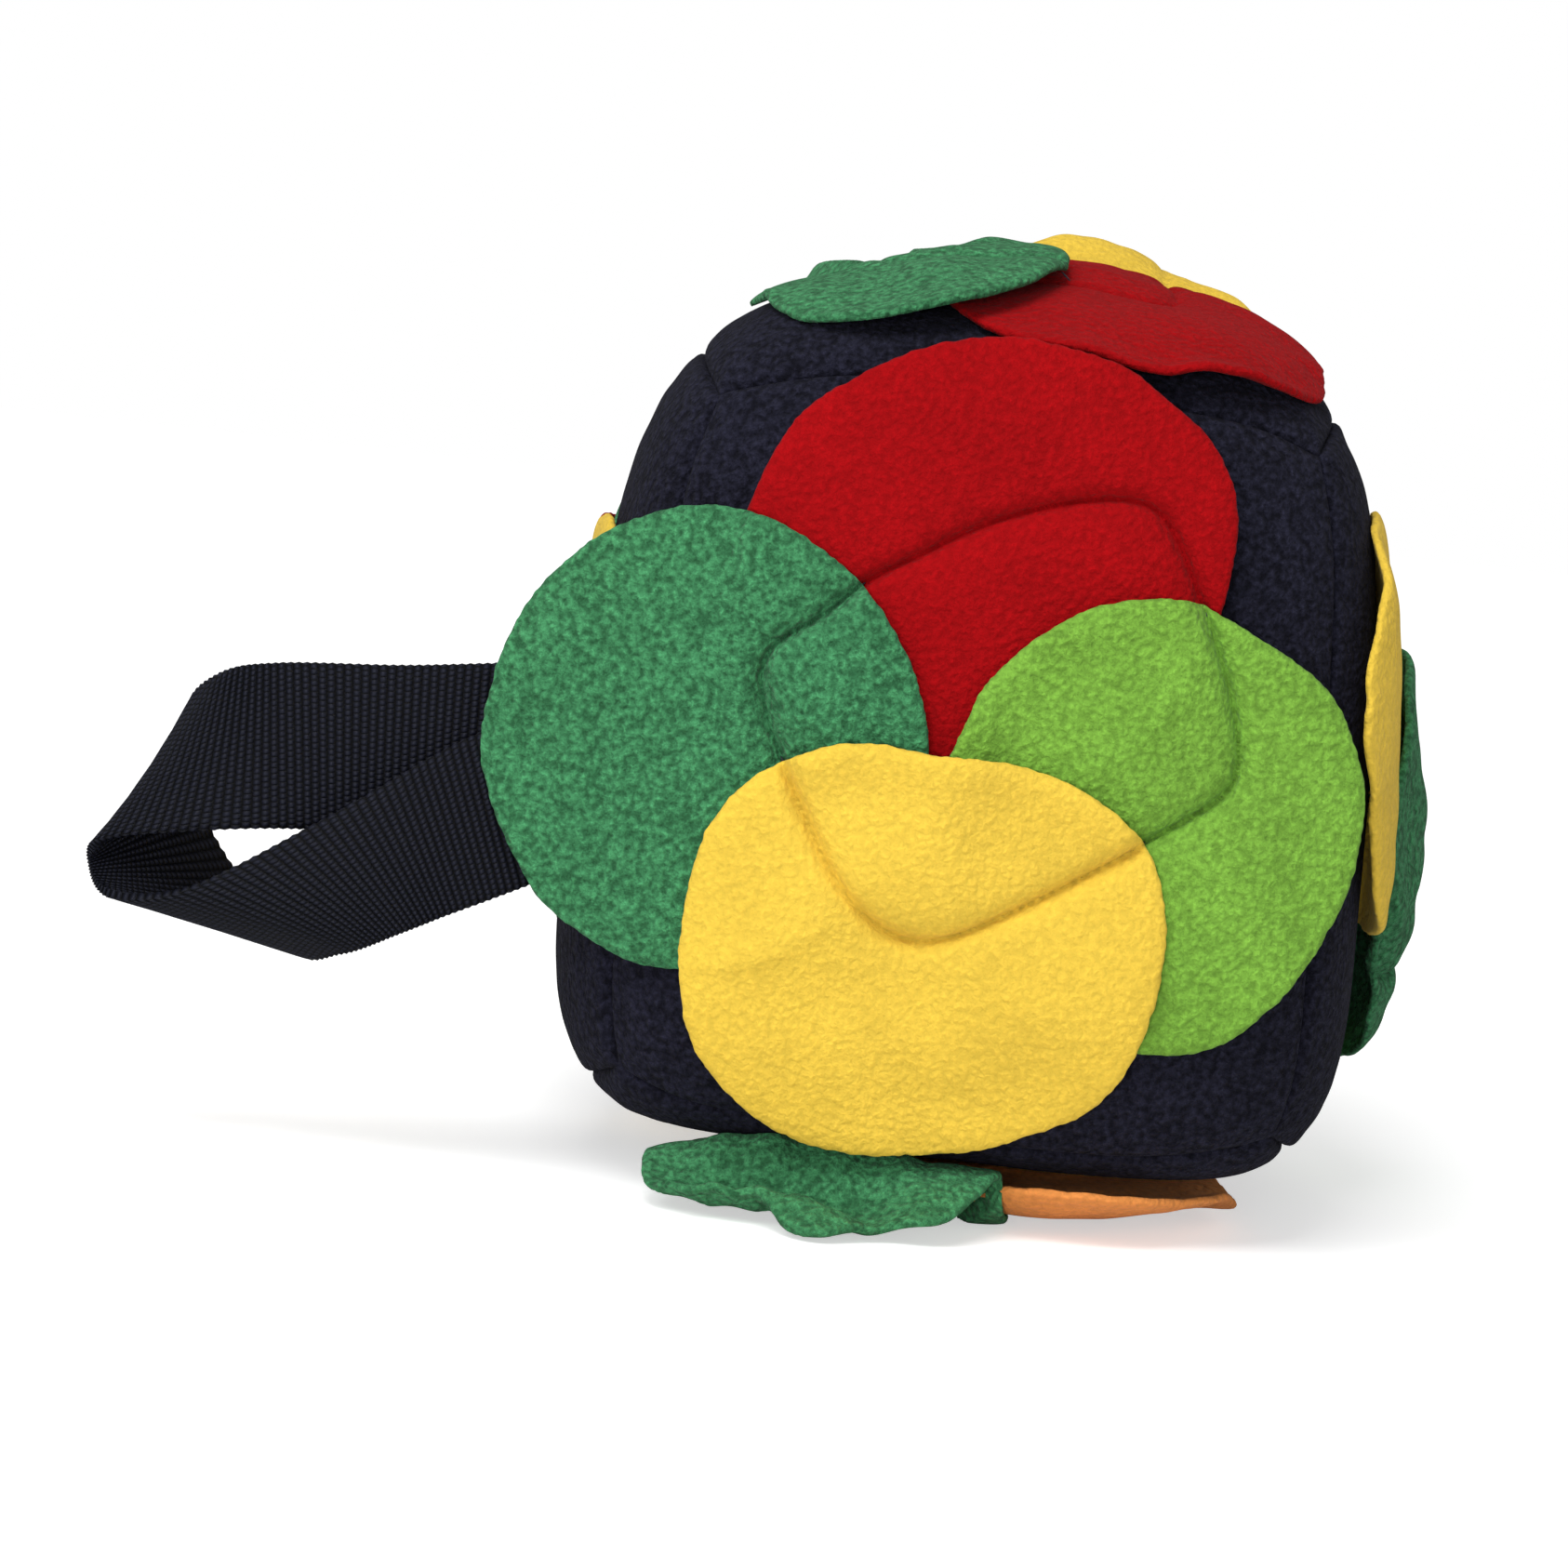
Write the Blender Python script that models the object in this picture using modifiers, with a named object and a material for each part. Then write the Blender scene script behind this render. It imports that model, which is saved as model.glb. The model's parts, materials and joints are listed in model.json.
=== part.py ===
"""A plush snuffle toy: a fibre-stuffed fleece cube with a flower of four round fleece petals sewn to each
face, and a loop of webbing as its handle. Metres, +Z up, standing on its base flower at Z = 0, with the
front at -Y and the handle at -X. Z = 0 and the world's Z axis pass through the middle of the cube's base.

Each petal is one disc of fleece. The row of stitches that holds it is where it bends, so it is modelled
as a sewn piece, which stays on the cube, and a flap, which turns on the fold beside the stitches.
"""

import math

import bmesh
import bpy
from mathutils import Vector

# Driving dimensions of the cube, between its seams
body_width = 0.146
body_depth = 0.150
body_height = 0.154
side_crown = 0.019        # how far the stuffing pushes a side panel out at its middle
top_crown = 0.029         # the same on the top panel, which stands fullest
base_crown = 0.014        # the same under the toy, where its weight flattens the panel
panel_thickness = 0.0025
stuffing_gap = 0.0012

# Driving dimensions of the petals
petal_length = 0.098      # from the middle of the flower outwards, drawn in by the stitches
petal_width = 0.109
fleece_thickness = 0.003
side_droop = 0.006        # how far a side petal has fallen away from the face at droop_reach
left_droop = 0.012        # the same on the handle's side, where the petals lie close to the cube
top_droop = 0.017         # the same for a petal of the top flower
droop_reach = 0.100
fold_margin = 0.004       # from the stitches, or the petals that lie over it, to a petal's fold
floor_ramp = 0.018        # run in which a flap of the base flower comes down to the floor

# Driving dimensions of the handle
webbing_width = 0.038
webbing_thickness = 0.0018
handle_reach = 0.094      # from its fold to the tip of the loop
handle_fold_reach = 0.031  # from the side seam to its fold
handle_front_offset = 0.0102  # how far the webbing stands in front of the front seam
handle_height = 0.0       # middle of the webbing above the middle of the cube
loop_depth = 0.026        # how far the loop opens from front to back
root_lap = 0.003          # from the corner of the cube to the end of the webbing, along each face

clearance = 0.0003        # between pieces that touch

# Fineness of the curved sheets
panel_cuts = 10
petal_cuts = 8
strap_spans = 4
strap_cuts = 2

# Derived sizes
layer_pitch = fleece_thickness + clearance
half_size = Vector((body_width, body_depth, body_height)) / 2
petals_per_face = 4
base_stack = petals_per_face * layer_pitch  # every petal of the base flower lies in a layer of its own
cube_centre = Vector((0, 0, base_stack + base_crown + half_size.z))

NAVY, GREEN, DARK_GREEN = (0.011, 0.010, 0.016), (0.051, 0.205, 0.087), (0.030, 0.130, 0.055)
RED, YELLOW, LIME, ORANGE = (0.366, 0.004, 0.006), (0.847, 0.578, 0.068), (0.175, 0.376, 0.054), (0.8, 0.2, 0.05)
FIBRE = (0.85, 0.85, 0.83)
COLOURS = {"green": GREEN, "dark_green": DARK_GREEN, "red": RED, "yellow": YELLOW, "lime": LIME, "orange": ORANGE}

# Each face has its outward normal, then the directions that its petals' places are measured in
FACES = {
    "front": (Vector((0, -1, 0)), Vector((1, 0, 0)), Vector((0, 0, 1))),
    "back": (Vector((0, 1, 0)), Vector((-1, 0, 0)), Vector((0, 0, 1))),
    "right": (Vector((1, 0, 0)), Vector((0, 1, 0)), Vector((0, 0, 1))),
    "left": (Vector((-1, 0, 0)), Vector((0, -1, 0)), Vector((0, 0, 1))),
    "top": (Vector((0, 0, 1)), Vector((1, 0, 0)), Vector((0, 1, 0))),
    "base": (Vector((0, 0, -1)), Vector((1, 0, 0)), Vector((0, -1, 0))),
}

# Petals of each face: colour, direction in degrees, then as shares of its length the place of its middle
# outwards and across and how far out the corner of the stitching lies on it, then its layer, counted from
# the panel
petal_shares = {
    "front": (("green", 180, 0.64, 0.0, 0.51, 1), ("red", 90, 0.43, 0.02, 0.65, 0),
              ("lime", 0, 0.36, -0.07, 0.57, 1), ("yellow", -90, 0.41, -0.10, 0.41, 2)),
    "back": (("red", 48, 0.38, 0.0, 0.49, 0), ("lime", 138, 0.38, 0.0, 0.49, 1),
             ("green", -132, 0.38, 0.0, 0.49, 2), ("yellow", -42, 0.38, 0.0, 0.49, 3)),
    "right": (("red", 78, 0.38, 0.0, 0.49, 0), ("lime", -102, 0.38, 0.0, 0.49, 1),
              ("yellow", 168, 0.40, 0.0, 0.49, 2), ("dark_green", -17, 0.40, 0.0, 0.49, 3)),
    "left": (("yellow", 0, 0.33, 0.03, 0.49, 2), ("green", 90, 0.35, 0.0, 0.49, 1),
             ("red", 180, 0.38, 0.0, 0.49, 3), ("lime", -90, 0.35, 0.0, 0.49, 0)),
    "top": (("green", -135, 0.33, 0.0, 0.49, 2), ("red", -45, 0.33, 0.0, 0.49, 3),
            ("yellow", 45, 0.33, 0.0, 0.49, 1), ("lime", 135, 0.33, 0.0, 0.49, 0)),
    "base": (("green", 135, 0.35, 0.0, 0.49, 3), ("orange", 45, 0.33, 0.0, 0.49, 2),
             ("red", -45, 0.33, 0.0, 0.49, 1), ("yellow", -135, 0.33, 0.0, 0.49, 0)),
}

# The webbing's outer and inner edge along the loop, from the strand behind, round the tip, to the strand in
# front: reach as a share of handle_reach, rise of webbing_width and depth of loop_depth
loop_shares = (
    ((0.00, 0.36, 0.0), (0.00, -0.64, 0.0)),
    ((0.28, 0.27, 0.03), (0.26, -0.72, 0.03)),
    ((0.58, 0.20, 0.12), (0.54, -0.77, 0.10)),
    ((0.72, 0.09, 0.22), (0.78, -0.86, 0.17)),
    ((0.78, -0.22, 0.58), (0.96, -0.98, 0.27)),
    ((0.71, -0.85, 0.96), (1.00, -1.14, 0.36)),
    ((0.50, -1.50, 0.60), (0.93, -1.30, 0.16)),
    ((0.33, -1.52, 0.16), (0.74, -1.30, -0.02)),
    ((0.17, -1.32, -0.06), (0.46, -0.88, -0.09)),
    ((0.07, -1.12, -0.10), (0.22, -0.36, -0.10)),
    ((0.00, -0.98, -0.08), (0.00, 0.02, -0.08)),
)


def clear_scene():
    for obj in list(bpy.data.objects):
        bpy.data.objects.remove(obj)


def make_material(name, colour, roughness=0.95):
    material = bpy.data.materials.new(name)
    material.use_nodes = True
    shader = material.node_tree.nodes["Principled BSDF"]
    shader.inputs["Base Color"].default_value = (*colour, 1)
    shader.inputs["Roughness"].default_value = roughness
    shader.inputs["Metallic"].default_value = 0
    return material


def add_object(name, bm, colour, collection, origin=None):
    """The mesh as one object with its own material, and its origin at a point of its joint's axis."""
    bmesh.ops.recalc_face_normals(bm, faces=bm.faces)
    if bm.calc_volume(signed=True) < 0:
        bmesh.ops.reverse_faces(bm, faces=bm.faces)
    if origin is not None:
        bmesh.ops.translate(bm, verts=bm.verts, vec=-origin)
    mesh = bpy.data.meshes.new(name)
    bm.to_mesh(mesh)
    bm.free()
    mesh.materials.append(make_material(name, colour))
    mesh.shade_smooth()
    mesh.set_sharp_from_angle(angle=math.radians(40))
    obj = bpy.data.objects.new(name, mesh)
    if origin is not None:
        obj.location = origin
    collection.objects.link(obj)
    return obj


def thicken(bm, place):
    """Doubles the flat sheet into a closed slab. place(flat point, side) gives each point, with side 0 for
    the inner face and 1 for the outer."""
    inner = list(bm.verts)
    made = bmesh.ops.extrude_face_region(bm, geom=bm.faces[:] + bm.edges[:] + bm.verts[:], use_keep_orig=True)
    outer = [item for item in made["geom"] if isinstance(item, bmesh.types.BMVert)]
    for side, verts in enumerate((inner, outer)):
        for vert in verts:
            vert.co = place(vert.co.copy(), side)


def crown_of(face):
    return {"top": top_crown, "base": base_crown}.get(face, side_crown)


def sine_share(share):
    """Spreads even steps so that they are finest at the seams, where the panel curves most."""
    return math.sin(share * math.pi / 2)


def crown_share(across, up):
    """How much of its crown a panel has at a place given as shares of its half sizes."""
    return math.sqrt(max(0, 1 - across**4) * max(0, 1 - up**4))


def face_sizes(face):
    """The face's half width and half height, and its distance from the cube's centre."""
    normal, right, up = FACES[face]
    return [sum(abs(d) * h for d, h in zip(axis, half_size)) for axis in (right, up, normal)]


def panel_point(face, across, up, depth):
    """A point at a depth below the panel's outer face. across and up run from -1 to 1 between the seams."""
    normal, right, above = FACES[face]
    half_across, half_up, distance = face_sizes(face)
    across, up = sine_share(across), sine_share(up)
    height = distance - depth + crown_of(face) * crown_share(across, up)
    inset = depth + clearance
    return (cube_centre + normal * height + right * (across * (half_across - inset))
            + above * (up * (half_up - inset)))


def build_panel(face, collection):
    bm = bmesh.new()
    bmesh.ops.create_grid(bm, x_segments=panel_cuts, y_segments=panel_cuts, size=1)
    thicken(bm, lambda flat, side: panel_point(face, flat.x, flat.y, panel_thickness * (1 - side)))
    add_object(f"{face}_panel", bm, NAVY, collection)


def build_stuffing(collection):
    """The fibre inside, a puffed block that stops just short of the panels."""
    bm = bmesh.new()
    bmesh.ops.create_cube(bm, size=2)
    bmesh.ops.subdivide_edges(bm, edges=bm.edges[:], cuts=panel_cuts - 1, use_grid_fill=True)
    depth = panel_thickness + stuffing_gap
    for vert in bm.verts:
        shares = [sine_share(share) for share in vert.co]
        point = Vector([share * (half - depth) for share, half in zip(shares, half_size)])
        for face, (normal, right, up) in FACES.items():
            if vert.co.dot(normal) > 1 - 1 / panel_cuts / 2:
                swell = crown_share(Vector(shares).dot(right), Vector(shares).dot(up))
                point += normal * crown_of(face) * swell
        vert.co = cube_centre + point
    add_object("stuffing", bm, FIBRE, collection)


class Petal:
    """One disc of fleece on a face, with the place of its fold."""

    def __init__(self, face, colour, direction, out_share, across_share, stitch_share, layer):
        self.face, self.colour, self.layer = face, colour, layer
        turn = math.radians(direction)
        self.out = Vector((math.cos(turn), math.sin(turn)))
        self.across = Vector((-math.sin(turn), math.cos(turn)))
        self.middle = self.out * (out_share * petal_length) + self.across * (across_share * petal_length)
        self.stitch_reach = stitch_share * petal_length

    def reach_towards(self, direction):
        """How far the petal reaches from the middle of the face in a direction on the face."""
        half_long = petal_length / 2 * self.out.dot(direction)
        half_wide = petal_width / 2 * self.across.dot(direction)
        return self.middle.dot(direction) + math.hypot(half_long, half_wide)

    def find_fold(self, petals):
        """The fold lies outside the stitches, every petal that lies over this one, and its own middle."""
        over = [p.reach_towards(self.out) for p in petals if p.layer > self.layer]
        self.fold = max([self.stitch_reach, self.middle.dot(self.out)] + over) + fold_margin

    def height(self, flat, side, out_distance):
        """Height above the plane of the seams."""
        if self.face != "base":
            droop = {"top": top_droop, "left": left_droop}.get(self.face, side_droop)
            cover = crown_of(self.face) - droop * (flat.length / droop_reach) ** 4
            return cover + clearance + self.layer * layer_pitch + side * fleece_thickness
        ramp = min(1, max(0, (out_distance - self.fold) / floor_ramp))
        fall = ramp * ramp * (3 - 2 * ramp)
        layer = self.layer + (petals_per_face - 1 - self.layer) * fall
        return base_crown + clearance + layer * layer_pitch + side * fleece_thickness

    def point(self, flat, side):
        """A point of the petal from its place on the face, measured from the middle of the face."""
        normal, right, up = FACES[self.face]
        distance = face_sizes(self.face)[2] + self.height(flat, side, flat.dot(self.out))
        return cube_centre + normal * distance + right * flat.x + up * flat.y

    def disc(self, share_across, share_up):
        """A square of shares rounded to the disc, as its place on the face."""
        out = share_across * math.sqrt(1 - share_up**2 / 2) * petal_length / 2
        across = share_up * math.sqrt(1 - share_across**2 / 2) * petal_width / 2
        return self.middle + self.out * out + self.across * across

    def hinge_point(self):
        across = self.middle.dot(self.across)
        return self.point(self.out * (self.fold + clearance / 2) + self.across * across, 1)

    def hinge_axis(self):
        """Turns the flap away from the face by the right-hand rule."""
        normal, right, up = FACES[self.face]
        out = right * self.out.x + up * self.out.y
        return out.cross(normal)


def build_petal_piece(petal, name, keep_flap, collection):
    bm = bmesh.new()
    bmesh.ops.create_grid(bm, x_segments=petal_cuts, y_segments=petal_cuts, size=1)
    for vert in bm.verts:
        flat = petal.disc(vert.co.x, vert.co.y)
        vert.co = (flat.x, flat.y, 0)
    cut = petal.fold + (clearance if keep_flap else 0)
    out = petal.out.to_3d()
    bmesh.ops.bisect_plane(bm, geom=bm.faces[:] + bm.edges[:] + bm.verts[:], dist=clearance / 10,
                           plane_co=out * cut, plane_no=out, clear_inner=keep_flap, clear_outer=not keep_flap)
    thicken(bm, lambda flat, side: petal.point(flat.to_2d(), side))
    origin = petal.hinge_point() if keep_flap else None
    add_object(name, bm, COLOURS[petal.colour], collection, origin)


def build_flower(face, collection):
    petals = [Petal(face, *shares) for shares in petal_shares[face]]
    for petal in petals:
        petal.find_fold(petals)
        name = f"{face}_{petal.colour}_petal"
        build_petal_piece(petal, f"{name}_sewn", False, collection)
        build_petal_piece(petal, f"{name}_flap", True, collection)
    return petals


def spline_point(before, start, end, after, share):
    """A point between start and end on the smooth curve through all four."""
    slope_in, slope_out = (end - before) / 2, (after - start) / 2
    square, cube = share**2, share**3
    return (start * (2 * cube - 3 * square + 1) + slope_in * (cube - 2 * square + share)
            + end * (3 * square - 2 * cube) + slope_out * (cube - square))


def smooth_route(keys):
    """The keys and the points between them."""
    padded = [2 * keys[0] - keys[1], *keys, 2 * keys[-1] - keys[-2]]
    route = []
    for index in range(len(keys) - 1):
        route += [spline_point(*padded[index:index + 4], step / strap_spans) for step in range(strap_spans)]
    return route + [keys[-1]]


def build_strap(name, edges, thickness, collection, origin=None):
    """A band of webbing between two edge routes that have as many points."""
    upper, lower = edges
    bm = bmesh.new()
    bmesh.ops.create_grid(bm, x_segments=len(upper) - 1, y_segments=strap_cuts, size=1)
    for vert in bm.verts:
        index = round((vert.co.x + 1) / 2 * (len(upper) - 1))
        vert.co = lower[index].lerp(upper[index], (vert.co.y + 1) / 2)
    obj = add_object(name, bm, NAVY, collection, origin)
    solidify = obj.modifiers.new("Thickness", "SOLIDIFY")
    solidify.thickness = thickness
    solidify.offset = 0
    return obj


def handle_fold_point():
    """The fold of the handle, on the webbing's face towards the back."""
    x = -half_size.x - handle_fold_reach
    y = -half_size.y - handle_front_offset + root_thickness() / 2
    return Vector((x, y, cube_centre.z + handle_height))


def root_thickness():
    return 2 * webbing_thickness + clearance


def build_handle(collection):
    """Both ends of the webbing are sewn in one seam, so the root is two layers and the loop is one."""
    fold = handle_fold_point()
    middle_y = fold.y - root_thickness() / 2
    (_, top_share, _), (_, rear_bottom_share, _) = loop_shares[0]
    _, front_bottom_share, _ = loop_shares[-1][0]
    corner = Vector((-half_size.x - root_lap, -half_size.y - root_lap, fold.z))
    bend = Vector((-half_size.x - handle_front_offset, middle_y, fold.z))
    places = [corner, corner.lerp(bend, 0.5), bend, bend.lerp(Vector((fold.x, middle_y, fold.z)), 0.5),
              Vector((fold.x, middle_y, fold.z))]
    upper, lower = [], []
    for place in places:
        share = (corner.x - place.x) / (corner.x - fold.x)
        bottom_share = rear_bottom_share + (front_bottom_share - rear_bottom_share) * share
        upper.append(place + Vector((0, 0, top_share * webbing_width)))
        lower.append(place + Vector((0, 0, bottom_share * webbing_width)))
    build_strap("handle_root", (upper, lower), root_thickness(), collection)

    start = fold + Vector((-clearance, -webbing_thickness / 2, 0))
    edges = []
    for edge in (0, 1):
        keys = [start + Vector((-reach * handle_reach, depth * loop_depth, rise * webbing_width))
                for reach, rise, depth in (pair[edge] for pair in loop_shares)]
        edges.append(smooth_route(keys))
    build_strap("handle_loop", edges, webbing_thickness, collection, fold)


def build():
    clear_scene()
    collection = bpy.data.collections.new("snuffle_toy")
    bpy.context.scene.collection.children.link(collection)
    build_stuffing(collection)
    for face in FACES:
        build_panel(face, collection)
    for face in FACES:
        build_flower(face, collection)
    build_handle(collection)


build()
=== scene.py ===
# %% [markdown]
# # A plush snuffle toy: a stuffed fleece cube with flowers of fleece petals and a webbing loop
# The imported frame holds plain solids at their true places. This lesson dresses them: puffed panels, draped
# petals with pulled-in stitching, ribbed webbing, and the nap of brushed fleece. It starts with the frame
# and keeps its box, because everything made later has to stay in that space.

import json
import math

import bmesh
import bpy
import numpy as np
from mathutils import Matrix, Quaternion, Vector, noise


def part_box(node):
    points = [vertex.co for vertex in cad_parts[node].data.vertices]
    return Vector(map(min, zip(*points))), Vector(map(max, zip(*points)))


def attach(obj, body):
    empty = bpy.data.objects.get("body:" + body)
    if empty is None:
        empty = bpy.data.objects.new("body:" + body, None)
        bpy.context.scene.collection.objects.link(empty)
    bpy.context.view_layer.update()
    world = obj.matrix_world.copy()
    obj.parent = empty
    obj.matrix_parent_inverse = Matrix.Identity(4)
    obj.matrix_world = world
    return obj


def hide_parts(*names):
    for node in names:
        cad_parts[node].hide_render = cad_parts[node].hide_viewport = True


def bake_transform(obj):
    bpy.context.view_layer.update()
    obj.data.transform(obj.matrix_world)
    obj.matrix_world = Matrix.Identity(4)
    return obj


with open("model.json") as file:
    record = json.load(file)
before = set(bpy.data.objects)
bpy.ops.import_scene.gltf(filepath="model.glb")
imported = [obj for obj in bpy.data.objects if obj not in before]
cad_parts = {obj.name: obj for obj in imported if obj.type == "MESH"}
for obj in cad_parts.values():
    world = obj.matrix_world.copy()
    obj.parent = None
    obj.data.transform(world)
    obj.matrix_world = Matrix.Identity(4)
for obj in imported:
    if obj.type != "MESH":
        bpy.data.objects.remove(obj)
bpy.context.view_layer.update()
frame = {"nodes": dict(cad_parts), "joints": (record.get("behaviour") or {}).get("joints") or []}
mm = 0.001

# %% [markdown]
# ## The cube's sizes
# Each face of the cube has a normal and two directions to measure places in. How far a face stands from the
# middle of the cube is read from the frame, so the soft body made here fills the same space as its solids.

# %% Faces of the cube
FACES = {
    "front": (Vector((0, -1, 0)), Vector((1, 0, 0)), Vector((0, 0, 1))),
    "back": (Vector((0, 1, 0)), Vector((-1, 0, 0)), Vector((0, 0, 1))),
    "right": (Vector((1, 0, 0)), Vector((0, 1, 0)), Vector((0, 0, 1))),
    "left": (Vector((-1, 0, 0)), Vector((0, -1, 0)), Vector((0, 0, 1))),
    "top": (Vector((0, 0, 1)), Vector((1, 0, 0)), Vector((0, 1, 0))),
    "base": (Vector((0, 0, -1)), Vector((1, 0, 0)), Vector((0, -1, 0))),
}
seam_low, seam_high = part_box("front_panel")
cube_middle = Vector((0, 0, (seam_low.z + seam_high.z) / 2))


def face_distance(face):
    """How far the middle of a panel stands from the middle of the cube."""
    normal = FACES[face][0]
    low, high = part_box(f"{face}_panel")
    return max((corner - cube_middle).dot(normal) for corner in (low, high))


distance = {face: face_distance(face) for face in FACES}
print("face distances in mm:", {face: round(far / mm, 1) for face, far in distance.items()})

# %% [markdown]
# ## The camera
# The toy is seen from the front and a little from above, and the picture is tilted, so the cube leans
# clockwise. The camera aims to the left of the cube's middle, because the loop takes the left part of the
# picture. The lens is given in pixels at the photograph's size, which is easy to compare with the picture.

# %% Camera
picture_size = 1686
focal_pixels = 4786
sensor_width = 36
camera_azimuth = math.radians(0)
camera_elevation = math.radians(6)
camera_roll = math.radians(6.1)
camera_distance = 1.0
camera_target = Vector((-0.0436, -0.075, cube_middle.z - 8 * mm))


def add_object(name, data):
    """A new object in the scene, at the origin."""
    obj = bpy.data.objects.new(name, data)
    bpy.context.scene.collection.objects.link(obj)
    return obj


def aim(obj, place, target, roll=0.0):
    """Puts a camera or a lamp at a place, pointing at its target."""
    obj.location = place
    obj.rotation_mode = "QUATERNION"
    turn = (target - Vector(place)).to_track_quat("-Z", "Y")
    obj.rotation_quaternion = turn @ Quaternion((0, 0, 1), roll)


camera_data = bpy.data.cameras.new("camera")
camera_data.sensor_width = sensor_width
camera_data.lens = focal_pixels / picture_size * sensor_width
camera = add_object("camera", camera_data)
looking = Vector((math.sin(camera_azimuth) * math.cos(camera_elevation),
                  math.cos(camera_azimuth) * math.cos(camera_elevation), -math.sin(camera_elevation)))
aim(camera, camera_target - looking * camera_distance, camera_target, camera_roll)
bpy.context.scene.camera = camera
print("lens in mm:", round(camera_data.lens, 1))

# %% [markdown]
# ## Nodes
# Every material is a small tree of nodes. The helpers here add a node, set its sockets or link them, and
# return what it gives, so that each material below reads like a short formula.

# %% Helpers for node trees
def set_inputs(node, values):
    """Sets sockets of a node, by name or number, or links them to the sockets of other nodes."""
    for name, value in values.items():
        if isinstance(value, bpy.types.NodeSocket):
            node.id_data.links.new(value, node.inputs[name])
        else:
            node.inputs[name].default_value = value


def add_node(tree, kind, values=(), **settings):
    """A new node with its settings and its inputs. Gives its outputs."""
    node = tree.nodes.new(kind)
    for name, value in settings.items():
        setattr(node, name, value)
    set_inputs(node, dict(values))
    return node.outputs


def add_math(tree, operation, first, second=0):
    return add_node(tree, "ShaderNodeMath", {0: first, 1: second}, operation=operation)[0]


def multiply(tree, first, *others):
    for other in others:
        first = add_math(tree, "MULTIPLY", first, other)
    return first


def add_range(tree, value, low, high, to_low, to_high):
    return add_node(tree, "ShaderNodeMapRange", {"From Min": low, "From Max": high, "To Min": to_low,
                                                 "To Max": to_high, "Value": value})[0]


def start_material(name, **finish):
    """A material and its tree, with sockets of the shader set, and where its patterns are read."""
    material = bpy.data.materials.new(name)
    material.use_nodes = True
    tree = material.node_tree
    values = {socket.replace("_", " "): value for socket, value in finish.items()}
    set_inputs(tree.nodes["Principled BSDF"], values)
    return material, tree, add_node(tree, "ShaderNodeTexCoord")["Object"]


def camera_only(tree):
    """1 for what the camera sees, 0 for the light that falls on things."""
    return add_node(tree, "ShaderNodeLightPath")["Is Camera Ray"]


print("node helpers are ready")

# %% [markdown]
# ## Floor, background and light
# Product pictures use a pale sweep and big soft lamps. The floor is a plain pale diffuse plane, with some
# glow that only the camera sees, so it shows white but still takes the toy's shadow. The big lamp high on
# the left gives the petals their soft shading, one above reaches the top flower, a low one near the camera
# reaches the petals under the cube, and the right side is left a little darker.

# %% Floor and lights
floor_size = 8.0
near_glow, far_glow = 0.52, 0.76     # the glow makes up for the lamps, which reach the far floor less
near_floor, far_floor = 0.35, 1.5
floor_colour = (0.86, 0.86, 0.86)
white = (1, 1, 1, 1)
lamps = {  # place and diameter in metres, and watts
    "key_lamp": ((-1.0, -1.05, 1.15), 0.7, 6.5),
    "top_lamp": ((-0.3, -0.9, 1.6), 0.9, 16),
    "low_lamp": ((-0.35, -1.6, 0.08), 0.8, 13),
    "fill_lamp": ((1.2, -1.0, 0.6), 1.0, 0.5),
}


def make_floor():
    bm = bmesh.new()
    bmesh.ops.create_grid(bm, x_segments=1, y_segments=1, size=floor_size / 2)
    mesh = bpy.data.meshes.new("floor")
    bm.to_mesh(mesh)
    bm.free()
    material, tree, coordinates = start_material(
        "pale_floor", Base_Color=(*floor_colour, 1), Roughness=1, Specular_IOR_Level=0, Emission_Color=white)
    away = add_node(tree, "ShaderNodeVectorMath", {0: coordinates}, operation="LENGTH")["Value"]
    fade = add_range(tree, away, near_floor, far_floor, near_glow, far_glow)
    glow = multiply(tree, camera_only(tree), fade)
    set_inputs(tree.nodes["Principled BSDF"], {"Emission Strength": glow})
    mesh.materials.append(material)
    add_object("floor", mesh)


def make_world(ambient):
    world = bpy.data.worlds.new("white_room")
    bpy.context.scene.world = world
    world.use_nodes = True
    tree = world.node_tree
    strength = add_range(tree, camera_only(tree), 0, 1, ambient, 1)
    set_inputs(tree.nodes["Background"], {"Color": white, "Strength": strength})


def make_lamp(name, place, size, watts):
    data = bpy.data.lights.new(name, "AREA")
    data.shape = "DISK"
    data.size = size
    data.energy = watts
    aim(add_object(name, data), place, cube_middle)


bpy.context.scene.view_settings.view_transform = "Standard"
make_floor()
make_world(ambient=0.38)
for lamp_name, lamp in lamps.items():
    make_lamp(lamp_name, *lamp)
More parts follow.
